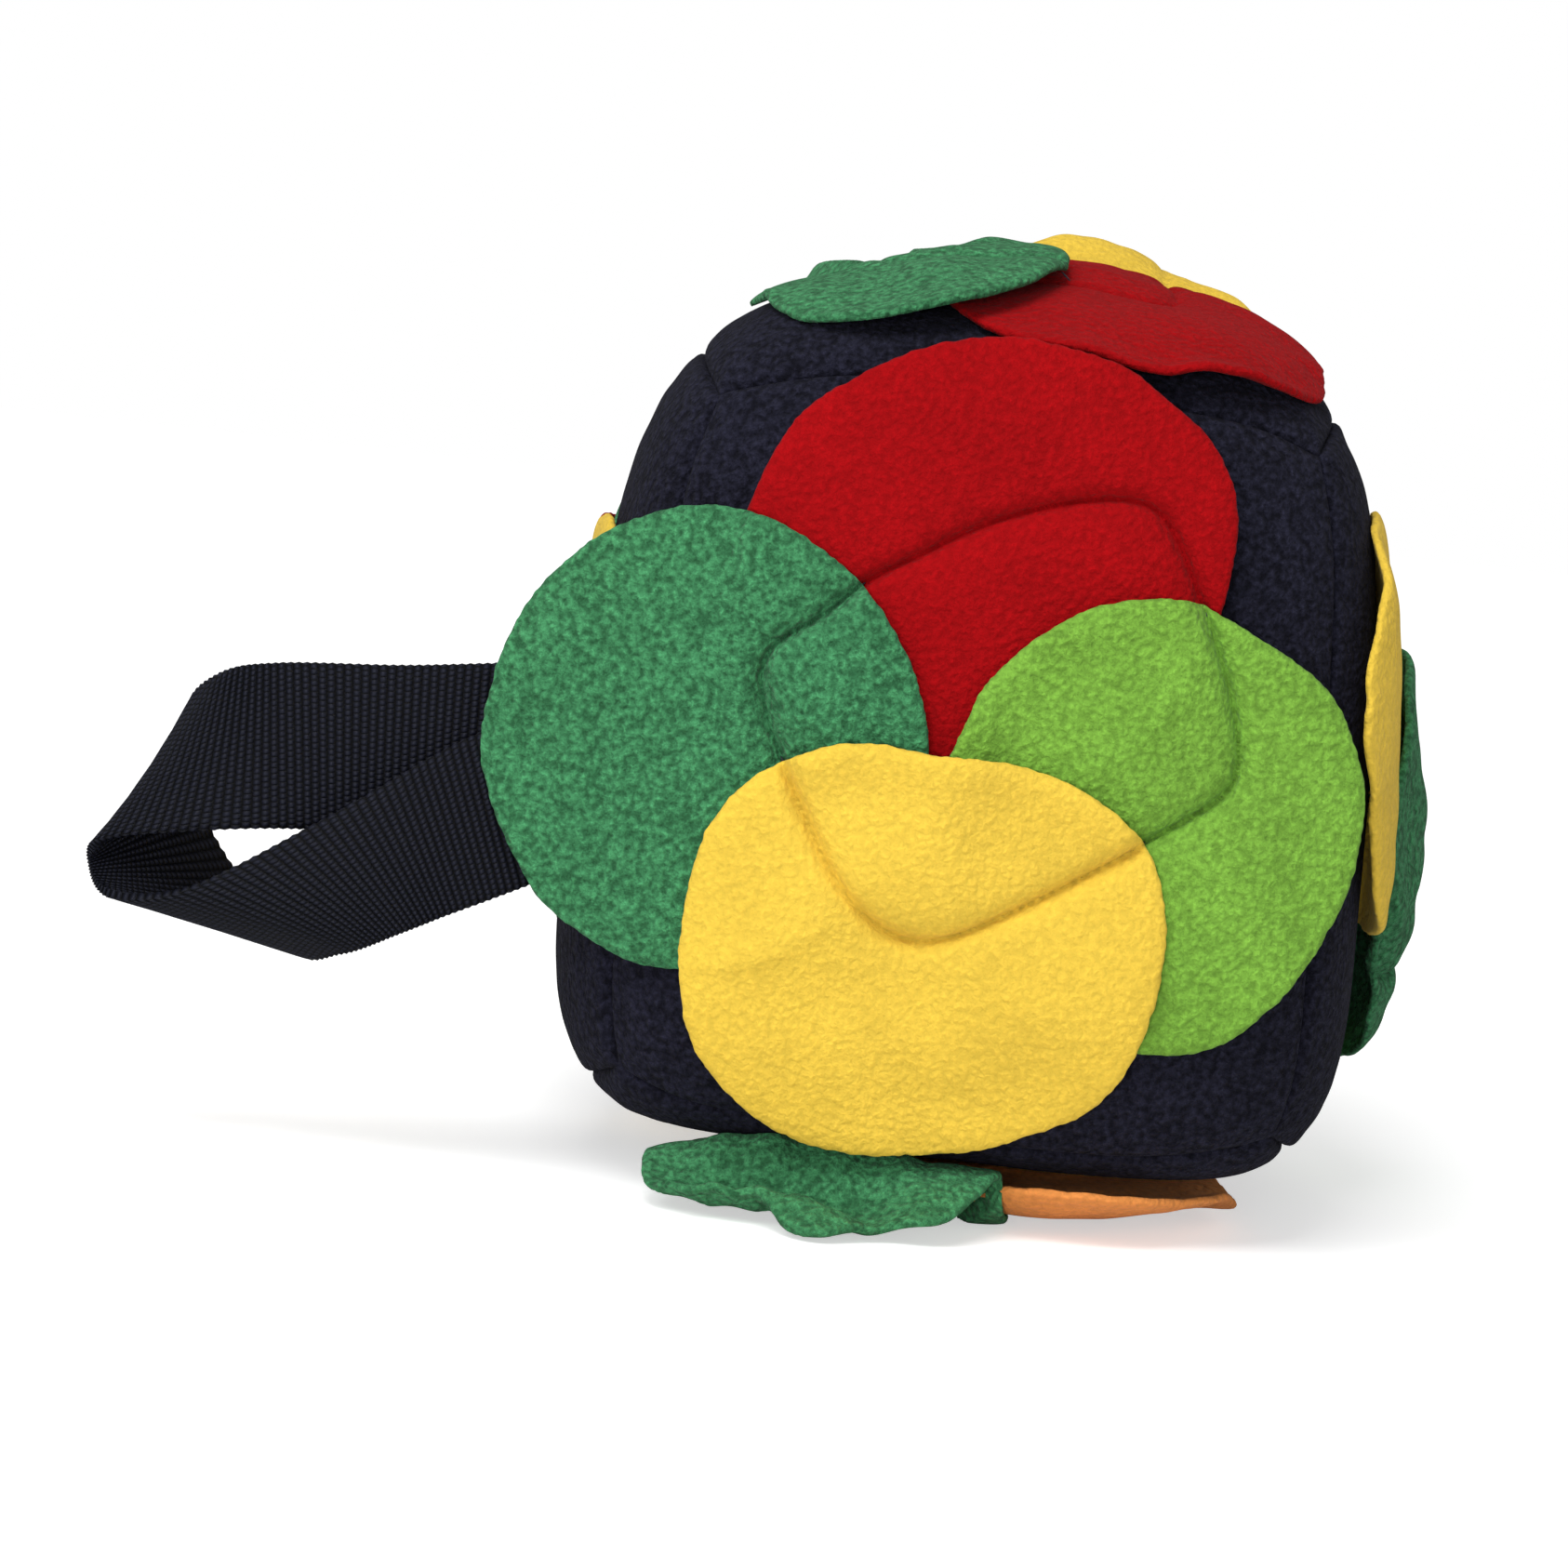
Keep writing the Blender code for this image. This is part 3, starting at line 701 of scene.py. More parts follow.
# %% Waves and folds
wave_size = 46 * mm
wave_heights = {"front": 2 * mm, "back": 3 * mm, "right": 2 * mm, "left": 1.5 * mm, "top": 1.2 * mm,
                "base": 3 * mm}
coarse_step = 4              # steps of the map between places where the slow waves are worked out
wave_start = 34 * mm
inner_lift = 1.8 * mm
inner_lift_reach = 12 * mm
pin_reach = 22 * mm
pin_slack = 3                # how loosely the cloth follows its pins
last_passes = 2
ridges = {  # u, v, direction in degrees, half length, half width, height, in millimetres
    ("top", "red"): ((32, -60, 90, 20, 3, -2), (62, -44, 35, 16, 5, 2.5), (58, -58, 60, 9, 4, -2)),
    ("right", "yellow"): ((-70, -26, 15, 12, 4, -3),),
}
pins = {  # u, v and the height of the petal's underside there, in millimetres
    ("top", "green"): (
        (-59, -50, 98), (-59, -43, 100), (-51, -66, 94.7), (-43, -71, 95.7), (-34, -72, 97.5),
        (-26, -72, 100), (-17, -68, 103.5), (-5, -61, 107.5), (5, -50, 112), (8, -38, 113.5),
        (-50, -38, 100), (-37, -32, 108.5), (-21, -24, 113), (-10, -22, 114.5), (0, -25, 115.7),
        (6, -28, 115), (-58, -15, 96), (-50, 0, 100), (-40, 0, 104.3), (-30, 0, 109.5), (-15, 5, 113),
        (-45, -52, 98.5), (-25, -52, 107), (-57, 18, 93.5), (-49, 26, 95.5), (-40, 33, 101.5),
        (-32, 32, 107), (-23, 34, 112.5), (-14, 32, 114.8), (-7, 28, 115), (-1, 20, 115)),
    ("top", "red"): (
        (-15, -58, 101), (-9, -66, 98), (-3, -74, 95.5), (14, -79, 95), (26, -80, 92), (31, -80, 91.8),
        (40, -80, 94), (51, -78, 93.5), (61, -70, 90.5), (67, -60, 88.6), (69, -42, 94), (70, -30, 96.5),
        (64, -22, 100.9), (56, -15, 105), (45, -8, 107.5), (38, -3, 108.4), (31, 0, 110.5), (21, 0, 112.8),
        (9, 0, 113.2), (33, -34, 105.5), (10, -40, 107), (45, -50, 101.5), (60, -45, 97.5), (48, 4, 105.5),
        (58, -5, 102), (66, -16, 98), (12, 8, 113), (20, 9, 112), (29, 9, 110.5), (37, 8, 108.5)),
    ("top", "yellow"): (
        (3, 25, 117.2), (10, 30, 120.7), (19, 30, 120.5), (28, 25, 118), (35, 22, 114.5), (41, 16, 112),
        (46, 14, 111.2), (53, 12, 109.4), (62, 20, 97), (10, 8, 108.5), (25, 8, 107.5), (0, 0, 108),
        (44, 6, 106), (45, -2, 102.5), (36, -1, 105), (55, -8, 99), (-10, 28, 111), (-18, 20, 109.5),
        (34, 31, 116), (42, 25, 112), (22, 42, 116), (8, 44, 116)),
    ("right", "red"): (
        (20, 74, 80), (10, 68, 84), (30, 77, 79), (45, 78, 77), (4, 58, 88), (0, 50, 89), (40, 40, 90)),
    ("right", "lime"): (
        (-4, -36, 93.5), (-3, -48, 92), (4, -60, 90), (14, -72, 86), (30, -78, 85), (40, -40, 93)),
    ("left", "green"): (
        (-42, 58, 83), (-25, 54, 85), (-10, 44, 88), (-60, 53, 83), (2, 24, 91), (-40, 20, 92)),
    ("left", "lime"): (
        (-40, -60, 90), (-22, -56, 92), (-10, -46, 93), (-58, -56, 88), (4, -26, 93), (-40, -20, 93)),
    ("left", "yellow"): (
        (0, 33, 94), (20, 42, 92), (35, 45, 90), (50, 42, 88), (-8, 18, 95), (39, -45, 93), (20, -40, 95),
        (55, -40, 92), (34, 0, 95)),
    ("right", "yellow"): (
        (-80, 46, 79.5), (-80, 32, 82), (-80, 17, 83.4), (-80, -8, 86), (-78, -18, 87), (-62, 65, 79.5),
        (-60, 57, 84), (-57, 51, 87), (-57, 39, 89.6), (-57, 31, 91), (-57, 15, 92.5), (-57, 0, 94),
        (-57, -16, 95), (-57, -29, 95), (-42, 62, 82), (-42, 50, 88), (-42, 37, 90.5), (-42, 15, 93),
        (-42, -3, 94.2), (-42, -22, 95), (-25, 40, 90), (-25, 15, 93.5), (-25, -10, 95.5), (-70, -24, 90)),
    ("right", "dark_green"): (
        (-24, 13, 97), (-25, -3, 98), (-25, -19, 99), (-22, -36, 100.5), (-14, -50, 101.3), (-7, -62, 101),
        (-6, 30, 99), (-6, 26, 101), (-6, 12, 103.9), (-6, -4, 107.2), (-6, -21, 108.7), (-6, -34, 108.3),
        (-4, -47, 106.2), (-2, -62, 102.3), (14, 26, 102), (16, 8, 104.5), (16, -10, 107), (16, -30, 108),
        (18, -52, 105)),
    ("base", "green"): (
        (-62, 80, 92.5), (-50, 84, 90.5), (-38, 87, 88.5), (-24, 88, 88.5), (-10, 88, 88.5), (4, 89, 88.5),
        (12, 89, 88.5), (-60, 90, 99), (-50, 92, 100.5), (-40, 92, 100.5), (-31, 93, 100.5), (-22, 95, 101),
        (-14, 99, 101), (-60, 96, 96), (-50, 98, 94.2), (-40, 99, 93.8), (-30, 100, 94.8), (-21, 103, 97.5),
        (-62, 100, 100), (-54, 102, 101), (-46, 103, 100), (-34, 107, 101), (-26, 111, 101.3),
        (-20, 110, 101.3), (-15, 106, 100), (-8, 106, 99.5), (5, 102, 97), (12, 96, 93), (-4, 97, 93.5),
        (6, 96, 92), (-30, 62, 97), (0, 62, 97), (-50, 62, 97)),
    ("base", "orange"): (
        (8, 84, 91), (14, 86, 90.5), (24, 88, 90.5), (34, 87, 91), (44, 84, 91.5), (52, 79, 92),
        (60, 70, 92.5), (66, 60, 93), (8, 72, 98), (20, 74, 97.8), (34, 73, 97), (46, 69, 96),
        (54, 60, 95.5), (30, 56, 97.5), (8, 56, 98)),
}


def wave_field(seed):
    """Slow waves, worked out on a coarse grid and filled in between."""
    coarse = map_line[::coarse_step]
    waves = np.array([[noise.noise(Vector((u / wave_size, v / wave_size, seed))) for v in coarse]
                      for u in coarse])
    rows = np.array([np.interp(map_line, coarse, row) for row in waves])
    return np.array([np.interp(map_line, coarse, column) for column in rows.T]).T * 2


def ridge_field(petal):
    """Height of the small folds of a petal over the map."""
    total = np.zeros(map_u.shape)
    for u, v, direction, half_length, half_width, height in ridges.get((petal.face, petal.colour), ()):
        turn = math.radians(direction)
        along = (map_u - u * mm) * math.cos(turn) + (map_v - v * mm) * math.sin(turn)
        aside = -(map_u - u * mm) * math.sin(turn) + (map_v - v * mm) * math.cos(turn)
        total += height * mm * np.exp(-((along / half_length / mm) ** 2) - (aside / half_width / mm) ** 2)
    return total


def pin_field(petal, lower):
    """Moves a petal to its pins as a thin springy plate would bend, and less far away from them."""
    given = np.array(pins.get((petal.face, petal.colour), ())).reshape(-1, 3)
    if not len(given):
        return np.zeros(map_u.shape)
    gaps = given[:, 2] - read_map(lower, given[:, :2] * mm) / mm

    def bend(square):
        return square * np.log(square + tiny) / 2

    count = len(given)
    apart = ((given[:, None, :2] - given[None, :, :2]) ** 2).sum(2)
    flat = np.column_stack([np.ones(count), given[:, :2]])
    plate = np.block([[bend(apart) + pin_slack * np.eye(count), flat], [flat.T, np.zeros((3, 3))]])
    weights = np.linalg.solve(plate, np.concatenate([gaps, np.zeros(3)]))
    u, v = map_u / mm, map_v / mm
    field = weights[count] + weights[count + 1] * u + weights[count + 2] * v
    nearest = np.full(map_u.shape, far_away / mm**2)
    for pin, weight in zip(given, weights):
        square = (u - pin[0]) ** 2 + (v - pin[1]) ** 2
        field += weight * bend(square)
        nearest = np.minimum(nearest, square)
    return soften(field * mm * np.exp(-nearest / (pin_reach / mm) ** 2), last_passes)


print("petals with folds of their own:", len(ridges), "and pinned:", len(pins))

# %% Drape every flower
drape_rounds = 14
drape_passes = 14
floor_gap = 0.2 * mm
floor_run = 20 * mm
swell_reach = 14 * mm
held_width = 1.6 * mm
fold_start = 10 * mm
mask_margin = 4 * mm             # cloth is worked out a little beyond the rim too
petal_seed, face_seed = 3.7, 11.3


def rim_distance(petal, u, v):
    """How far places lie inside the petal's outline, less than zero outside it."""
    aside, above = u - petal.middle[0], v - petal.middle[1]
    return petal.radius(np.arctan2(above, aside)) - np.hypot(aside, above)


def smooth_step(value):
    """Rises from 0 to 1 with no corner at either end."""
    value = np.clip(value, 0, 1)
    return value * value * (3 - 2 * value)


def drape(face):
    """Lays the petals of a face in order. Gives each one its lower surface over the map."""
    stitch_distance = distance_to(stitches[face])
    inside = inside_of(stitches[face])
    panel = body_height(face, map_u, map_v)
    radius = np.hypot(map_u, map_v)
    swell = puff * smooth_step(stitch_distance / swell_reach) * inside
    surface = np.zeros(map_u.shape)
    held = np.exp(-((stitch_distance / held_width) ** 2)) * crease_shares.get(face, 1)
    thickness = thickness_at(stitch_distance, face)
    lowers = {}
    for number, petal in enumerate(petals[face]):
        rim = rim_distance(petal, map_u, map_v)
        mask = rim > -mask_margin
        free = smooth_step((stitch_distance * ~inside) / wave_start)
        seed = petal_seed * number + face_seed * list(FACES).index(face)
        waves = wave_heights[face] * wave_field(seed) * free
        folds = ridge_field(petal) * smooth_step(stitch_distance / fold_start)
        if face == "base":
            run = map_u * petal.out[0] + map_v * petal.out[1] - petal.fold
            ramp = smooth_step(run / floor_run)
            layer = petal.layer + (len(petals[face]) - 1 - petal.layer) * ramp
            lower = distance["base"] + clearance + layer * (cloth_thickness + 2 * clearance)
            lower = lower - np.maximum(0, waves + wave_heights[face] / 2) * ramp + folds
            lower = lower + pin_field(petal, lower)
            lower = np.maximum(np.maximum(lower, surface), panel + clearance)
            lower = np.minimum(lower, cube_middle.z - floor_gap - cloth_thickness)
        else:
            fall = close_falls.get((face, petal.colour), falls[face])
            stiff = distance[face] - fall * (radius / fall_reach) ** 4
            ground = np.maximum(stiff, panel) + swell + clearance
            under = ground + blanket(np.maximum(surface - ground, 0))
            lower = soften_within(under, mask, drape_passes)
            for _ in range(drape_rounds):
                lower = soften_within(np.maximum(lower, under), mask, drape_passes)
                lower = lower * (1 - held) + under * held
            lift = inner_lift * inside * smooth_step(1 - rim / inner_lift_reach) * (petal.layer > 0)
            lower = np.maximum(lower + waves + folds + lift * (1 - held), np.maximum(surface, ground))
            lower = np.maximum(lower + pin_field(petal, lower), np.maximum(surface, panel + clearance))
            lower = soften_within(lower, mask, last_passes)
        surface = np.where(rim > 0, lower + thickness + clearance, surface)
        lowers[petal.colour] = lower
    return lowers


draped = {face: drape(face) for face in FACES}
print("draped faces:", sorted(draped))

# %% [markdown]
# ## Petal meshes
# A petal is cut round, so its mesh starts as a square grid that is rounded to a disc, which keeps its cells
# even and needs no pole in the middle. The rim is cut by hand and wavers a little. The lower surface is read
# from the height map, the upper one lies a cloth's thickness above it, and a few rows of points round the
# cut edge join them.

# %% Disc of fleece
petal_cells = {"front": 150, "top": 110, "right": 100, "base": 100}
other_cells = 84
rim_rows = 3
rim_round = 0.6 * mm
rim_waver = 0.9 * mm
rim_wavers = ((3, 1), (14, 0.35), (32, 0.25))     # wide, short and fluffy
rim_thinning, rim_width = 0.4, 2 * mm      # the cut edge is thinner, because the brushed nap opens there


def square_to_disc(x, y):
    """Moves points of a square to a disc, with even cells."""
    bigger = np.abs(x) > np.abs(y)
    radius = np.where(bigger, x, y)
    angle = np.where(bigger, math.pi / 4 * y / np.where(x == 0, 1, x),
                     math.pi / 2 - math.pi / 4 * x / np.where(y == 0, 1, y))
    return radius * np.cos(angle), radius * np.sin(angle)


def rim_shape(angles, seed):
    """How far the hand-cut rim wavers from the true disc."""
    waver = [sum(size * noise.noise(Vector((turns * math.cos(a), turns * math.sin(a), seed + turns)))
                 for turns, size in rim_wavers) for a in angles]
    return np.array(waver) * rim_waver


def disc_places(petal, cells, seed):
    """Places of the grid of a petal on its face."""
    line = np.linspace(-1, 1, cells + 1)
    x, y = (grid.ravel() for grid in np.meshgrid(line, line, indexing="ij"))
    x, y = square_to_disc(x, y)
    radius = np.hypot(x, y)
    angle = np.arctan2(y, x)
    reach = radius * (petal.radius(angle) - rim_round) + rim_shape(angle, seed) * radius**4
    return petal.middle + np.stack([np.cos(angle), np.sin(angle)], axis=1) * reach[:, None]


def grid_faces(cells, offset=0, flip=False):
    """The four-sided faces of a square grid of points."""
    side = cells + 1
    index = np.arange(side * side).reshape(side, side) + offset
    quads = np.stack([index[:-1, :-1], index[1:, :-1], index[1:, 1:], index[:-1, 1:]], axis=-1).reshape(-1, 4)
    return quads[:, ::-1] if flip else quads


def border_of(cells):
    """Grid points round the border, in order."""
    side = cells + 1
    index = np.arange(side * side).reshape(side, side)
    return np.concatenate([index[:-1, 0], index[-1, :-1], index[:0:-1, -1], index[0, :0:-1]])


def point_outwards(mesh):
    bm = bmesh.new()
    bm.from_mesh(mesh)
    bmesh.ops.recalc_face_normals(bm, faces=bm.faces)
    if bm.calc_volume(signed=True) < 0:
        bmesh.ops.reverse_faces(bm, faces=bm.faces)
    bm.to_mesh(mesh)
    bm.free()


def mesh_object(name, points, faces, material):
    mesh = bpy.data.meshes.new(name)
    mesh.from_pydata([tuple(p) for p in points], [], [tuple(int(i) for i in face) for face in faces])
    mesh.validate()
    point_outwards(mesh)
    mesh.materials.append(material)
    mesh.shade_smooth()
    return add_object(name, mesh)


def face_to_world(face, places, heights):
    """Points in the frame for places on a face and heights above the middle of the cube."""
    normal, right, up = (np.array(axis) for axis in FACES[face])
    return (np.array(cube_middle) + places[:, :1] * right + places[:, 1:] * up + heights[:, None] * normal)


def slab(name, face, places, lower, upper, cells, material):
    """A closed sheet between two surfaces over a grid of places, with a rounded edge."""
    count = len(places)
    border = border_of(cells)
    middle = places[border].mean(0)
    outward = places[border] - middle
    outward /= np.linalg.norm(outward, axis=1)[:, None]
    points = [face_to_world(face, places, lower), face_to_world(face, places, upper)]
    faces = [grid_faces(cells, 0, flip=True), grid_faces(cells, count)]
    rows = [border]
    for row in range(1, rim_rows + 1):
        share = row / (rim_rows + 1)
        bulge = rim_round * math.sin(share * math.pi)
        heights = lower[border] + (upper[border] - lower[border]) * share
        points.append(face_to_world(face, places[border] + outward * bulge, heights))
        rows.append(np.arange(len(border)) + 2 * count + (row - 1) * len(border))
    rows.append(border + count)
    for low, high in zip(rows, rows[1:]):
        faces.append(np.stack([low, np.roll(low, -1), np.roll(high, -1), high], axis=-1))
    return mesh_object(name, np.concatenate(points), np.concatenate(faces), material)


def make_petal(petal, seed):
    """The disc of a petal, laid over its map and drawn in at the stitches."""
    cells = petal_cells.get(petal.face, other_cells)
    places = disc_places(petal, cells, seed)
    stitch_distance = distance_from_line(places, stitches[petal.face])
    lower = read_map(draped[petal.face][petal.colour], places) - crease(stitch_distance, petal.face)
    rim = rim_distance(petal, *places.T)
    thin = 1 - rim_thinning * np.exp(-np.maximum(rim, 0) / rim_width)
    upper = lower + thickness_at(stitch_distance, petal.face) * thin
    return slab(petal.name, petal.face, places, lower, upper, cells, fleece[petal.colour])


petal_pieces = {}
for face in FACES:
    for number, petal in enumerate(petals[face]):
        petal_pieces[petal.name] = make_petal(petal, number + 10 * list(FACES).index(face))
print("petals:", len(petal_pieces), "faces on the largest:",
      max(len(obj.data.polygons) for obj in petal_pieces.values()))

# %% [markdown]
# ## Panels and filling
# Each panel is a sheet of the same fleece, stretched over the filling. Its grid runs over one side of the
# rounded cube. Near its border it sinks into the seam's groove, with small puckers where the two cloths were
# eased together, and under the flower it is pulled in by the stitches. The filling is one soft lump inside.

# %% Panels
panel_cells = 108
panel_thickness = 2.4 * mm
groove_depth = 2.5 * mm
groove_width = 1.3 * mm
groove_shoulder = 1.0 * mm
shoulder_width = 8 * mm
corner_ease, corner_reach = 0.7, 9 * mm    # where three panels meet the seams are pulled in less
pucker_height = 1.7 * mm
pucker_length, pucker_width = 26 * mm, 6.5 * mm
pucker_reach = 15 * mm
dent_height = 1.0 * mm
dent_size = 55 * mm
panel_pull = 0.9 * mm          # under the flower the panel is drawn in a little further than the petals
panel_pull_width = 5 * mm
panel_gap = 0.3 * mm           # between the panel and the petals
pucker_start = 2 * mm
border_bunching = 0.38         # how much finer the grid gets towards the seams
dent_place = Vector((7, 3, 5))


def panel_grid(face):
    """Shares from -1 to 1 across a panel, finer towards the seams."""
    line = np.linspace(-1, 1, panel_cells + 1)
    line = (1 - border_bunching) * line + border_bunching * np.sin(line * math.pi / 2)
    return (grid.ravel() for grid in np.meshgrid(line, line, indexing="ij"))


def seam_sink(a, b, face):
    """How deep the surface lies below the rounded cube near the seams."""
    normal, right, up = (np.array(axis) for axis in FACES[face])
    half_right, half_up = np.abs(right) @ half_body, np.abs(up) @ half_body
    gaps = np.stack([(1 - np.abs(a)) * half_right, (1 - np.abs(b)) * half_up])
    near = gaps.min(0)
    sink = groove_depth * np.exp(-near / groove_width) + groove_shoulder * np.exp(-near / shoulder_width)
    return sink * (1 - corner_ease * np.exp(-np.hypot(*gaps) / corner_reach)), near


def pucker_noise(place, along_up, seed):
    """Small folds that run along a seam."""
    along, aside = (place[1], place[0]) if along_up else place
    return noise.noise(Vector((along / pucker_length, aside / pucker_width, seed)))


def make_panel(face):
    """A sheet over one side of the rounded cube, with its grooves, puckers and dents."""
    normal, right, up = (np.array(axis) for axis in FACES[face])
    a, b = panel_grid(face)
    points = body_points(normal + a[:, None] * right + b[:, None] * up)
    inward = -points / np.linalg.norm(points, axis=1)[:, None]
    places = np.stack([points @ right, points @ up], axis=1)
    sink, near = seam_sink(a, b, face)
    beside_right = (1 - np.abs(a)) < (1 - np.abs(b))
    pucker = np.array([pucker_noise(*given, len(face)) for given in zip(places, beside_right)])
    dent = np.array([noise.noise(Vector(point) / dent_size + dent_place) for point in points])
    fade = np.exp(-near / pucker_reach) * (1 - np.exp(-near / pucker_start))
    sink = sink + pucker_height * pucker * fade + dent_height * dent
    stitch_distance = distance_from_line(places, stitches[face])
    pull = crease(stitch_distance, face) + panel_pull * np.exp(-((stitch_distance / panel_pull_width) ** 2))
    upper = points + inward * sink[:, None] - normal * (pull + panel_gap)[:, None]
    lower = upper + inward * panel_thickness
    count = len(points)
    border = border_of(panel_cells)
    side = np.stack([border, np.roll(border, -1), np.roll(border, -1) + count, border + count], axis=-1)
    faces = [grid_faces(panel_cells, 0, flip=True), grid_faces(panel_cells, count), side]
    world = np.concatenate([lower, upper]) + np.array(cube_middle)
    return mesh_object(f"{face}_cover", world, np.concatenate(faces), fleece["navy"])


panels = {face: make_panel(face) for face in FACES}
print("panels:", [panel.name for panel in panels.values()])

# %% Fibre filling
filling_share = 0.93
filling_cuts = 27
lump_height = 1.5 * mm
lump_size = 24 * mm
strand_size = 1.2 * mm
strand_relief = 1 * mm
strand_painted_shading = (0.8, 1.05)


def make_fibre():
    material, tree, coordinates = start_material("fibre_fill", Roughness=1)
    strands = add_noise(tree, coordinates, strand_size, 5, 0.7, 2.0)
    # The strands are painted darker where they lie low and lighter where they stand up: painted shade that
    # follows their bump.
    shade = add_range(tree, strands, *noise_range, *strand_painted_shading)
    dress(tree, (0.85, 0.85, 0.83), shade, strands, depth=strand_relief)
    return material


def make_filling():
    bm = bmesh.new()
    bmesh.ops.create_cube(bm, size=2)
    bmesh.ops.subdivide_edges(bm, edges=bm.edges[:], cuts=filling_cuts, use_grid_fill=True)
    points = body_points(np.array([vert.co for vert in bm.verts])) * filling_share
    for vert, point in zip(bm.verts, points):
        lump = lump_height * (noise.noise(Vector(point) / lump_size) - 1)
        vert.co = cube_middle + Vector(point) + Vector(point).normalized() * lump
    mesh = bpy.data.meshes.new("fibre_filling")
    bm.to_mesh(mesh)
    bm.free()
    mesh.materials.append(make_fibre())
    mesh.shade_smooth()
    return add_object("fibre_filling", mesh)


filling = make_filling()
print("filling faces:", len(filling.data.polygons))

# %% [markdown]
# ## The thread of the flowers
# The stitches repeat along a line, which is what Geometry Nodes are for. A curve follows the groove on the
# topmost petal. The tree resamples it at the stitch length, sets a short capsule of thread on each point,
# turned along the curve, then realizes the copies so that the result is a plain mesh.

# %% Topmost surface and thread
twist_size = 0.25 * mm
twist_shades = (0.7, 1.4)
stitch_length = 3.2 * mm
stitch_gap = 0.9 * mm
thread_radius = 0.22 * mm
thread_sink = 0.12 * mm


def top_heights(face, places):
    """Height of the topmost cloth at places along the stitches of a face."""
    top = body_height(face, places[:, 0], places[:, 1]) - crease(0, face)
    for petal in petals[face]:
        covered = read_map(rim_distance(petal, map_u, map_v), places) > 0
        lower = read_map(draped[face][petal.colour], places)
        top = np.where(covered, np.maximum(top, lower + thickness_at(0, face) - crease(0, face)), top)
    return top


def make_thread():
    material, tree, coordinates = start_material("navy_thread", Roughness=0.6)
    shade = add_range(tree, add_noise(tree, coordinates, twist_size, 2), *noise_range, *twist_shades)
    dress(tree, (0.014, 0.014, 0.024), shade)
    return material


stitch_inputs = {"Stitch length": stitch_length, "Gap": stitch_gap, "Thread radius": thread_radius,
                 "Thread": make_thread()}
print("stitches are", round(stitch_length / mm, 1), "mm long,", round(stitch_gap / mm, 1), "mm apart")

# %% Stitch tree
def stitch_tree():
    """Geometry Nodes that lay a capsule of thread at each stitch of a curve."""
    tree = bpy.data.node_groups.new("stitch_row", "GeometryNodeTree")
    tree.interface.new_socket("Geometry", in_out="INPUT", socket_type="NodeSocketGeometry")
    for name, value in stitch_inputs.items():
        kind = "Float" if isinstance(value, float) else "Material"
        tree.interface.new_socket(name, in_out="INPUT", socket_type=f"NodeSocket{kind}").default_value = value
    tree.interface.new_socket("Geometry", in_out="OUTPUT", socket_type="NodeSocketGeometry")
    given = add_node(tree, "NodeGroupInput")
    pitch = add_math(tree, "ADD", given["Stitch length"], given["Gap"])
    points = add_node(tree, "GeometryNodeCurveToPoints", {"Curve": given["Geometry"], "Length": pitch},
                      mode="LENGTH")
    capsule = add_node(tree, "GeometryNodeMeshUVSphere", {"Segments": 8, "Rings": 6, "Radius": 1})
    stretch = add_node(tree, "ShaderNodeCombineXYZ", {
        "X": given["Thread radius"], "Y": given["Thread radius"],
        "Z": multiply(tree, given["Stitch length"], 0.5)})
    copies = add_node(tree, "GeometryNodeInstanceOnPoints", {
        "Points": points["Points"], "Instance": capsule["Mesh"], "Rotation": points["Rotation"],
        "Scale": stretch[0]})
    real = add_node(tree, "GeometryNodeRealizeInstances", {"Geometry": copies["Instances"]})
    paint = add_node(tree, "GeometryNodeSetMaterial", {"Geometry": real["Geometry"],
                                                       "Material": given["Thread"]})
    add_node(tree, "NodeGroupOutput", {"Geometry": paint["Geometry"]})
    return tree


def socket_named(tree, name):
    """The identifier of a tree's input, which a modifier's settings are stored under."""
    return next(item.identifier for item in tree.interface.items_tree
                if item.item_type == "SOCKET" and item.in_out == "INPUT" and item.name == name)


def apply_tree(obj, tree, name, values):
    """Runs a Geometry Nodes tree on an object and gives its result as a plain mesh object."""
    modifier = obj.modifiers.new("Tree", "NODES")
    modifier.node_group = tree
    for socket, value in values.items():
        modifier[socket_named(tree, socket)] = value
    bpy.context.view_layer.update()
    evaluated = obj.evaluated_get(bpy.context.evaluated_depsgraph_get())
    mesh = bpy.data.meshes.new_from_object(evaluated)
    obj.modifiers.remove(modifier)
    bpy.data.objects.remove(obj)
    mesh.name = name
    mesh.shade_smooth()
    return add_object(name, mesh)


def curve_through(name, points):
    """A closed curve of straight pieces through the points."""
    curve = bpy.data.curves.new(name, "CURVE")
    curve.dimensions = "3D"
    spline = curve.splines.new("POLY")
    spline.points.add(len(points) - 1)
    for place, point in zip(spline.points, points):
        place.co = (*point, 1)
    spline.use_cyclic_u = True
    return add_object(name, curve)


stitch_nodes = stitch_tree()
stitching = {}
for face in FACES:
    line = stitches[face]
    heights = top_heights(face, line) - thread_sink
    guide = curve_through(f"{face}_guide", face_to_world(face, line, heights))
    stitching[face] = apply_tree(guide, stitch_nodes, f"{face}_flower_stitching", stitch_inputs)
print("stitch rows:", [obj.name for obj in stitching.values()])

# %% [markdown]
# ## The webbing handle
# The handle is one length of ribbed webbing. Both its ends are sewn into the seam at the left front corner,
# it runs out flat to the left, and there it makes a loop like a ribbon: the rear strand turns over at the tip
# and comes back lower down in front of itself. Like its solids, the band is laid between two edges. Up to
# the tip their key places are those of the solids. The tip and the strand that comes back follow the picture
# more closely here, and there are more rows between the key places.

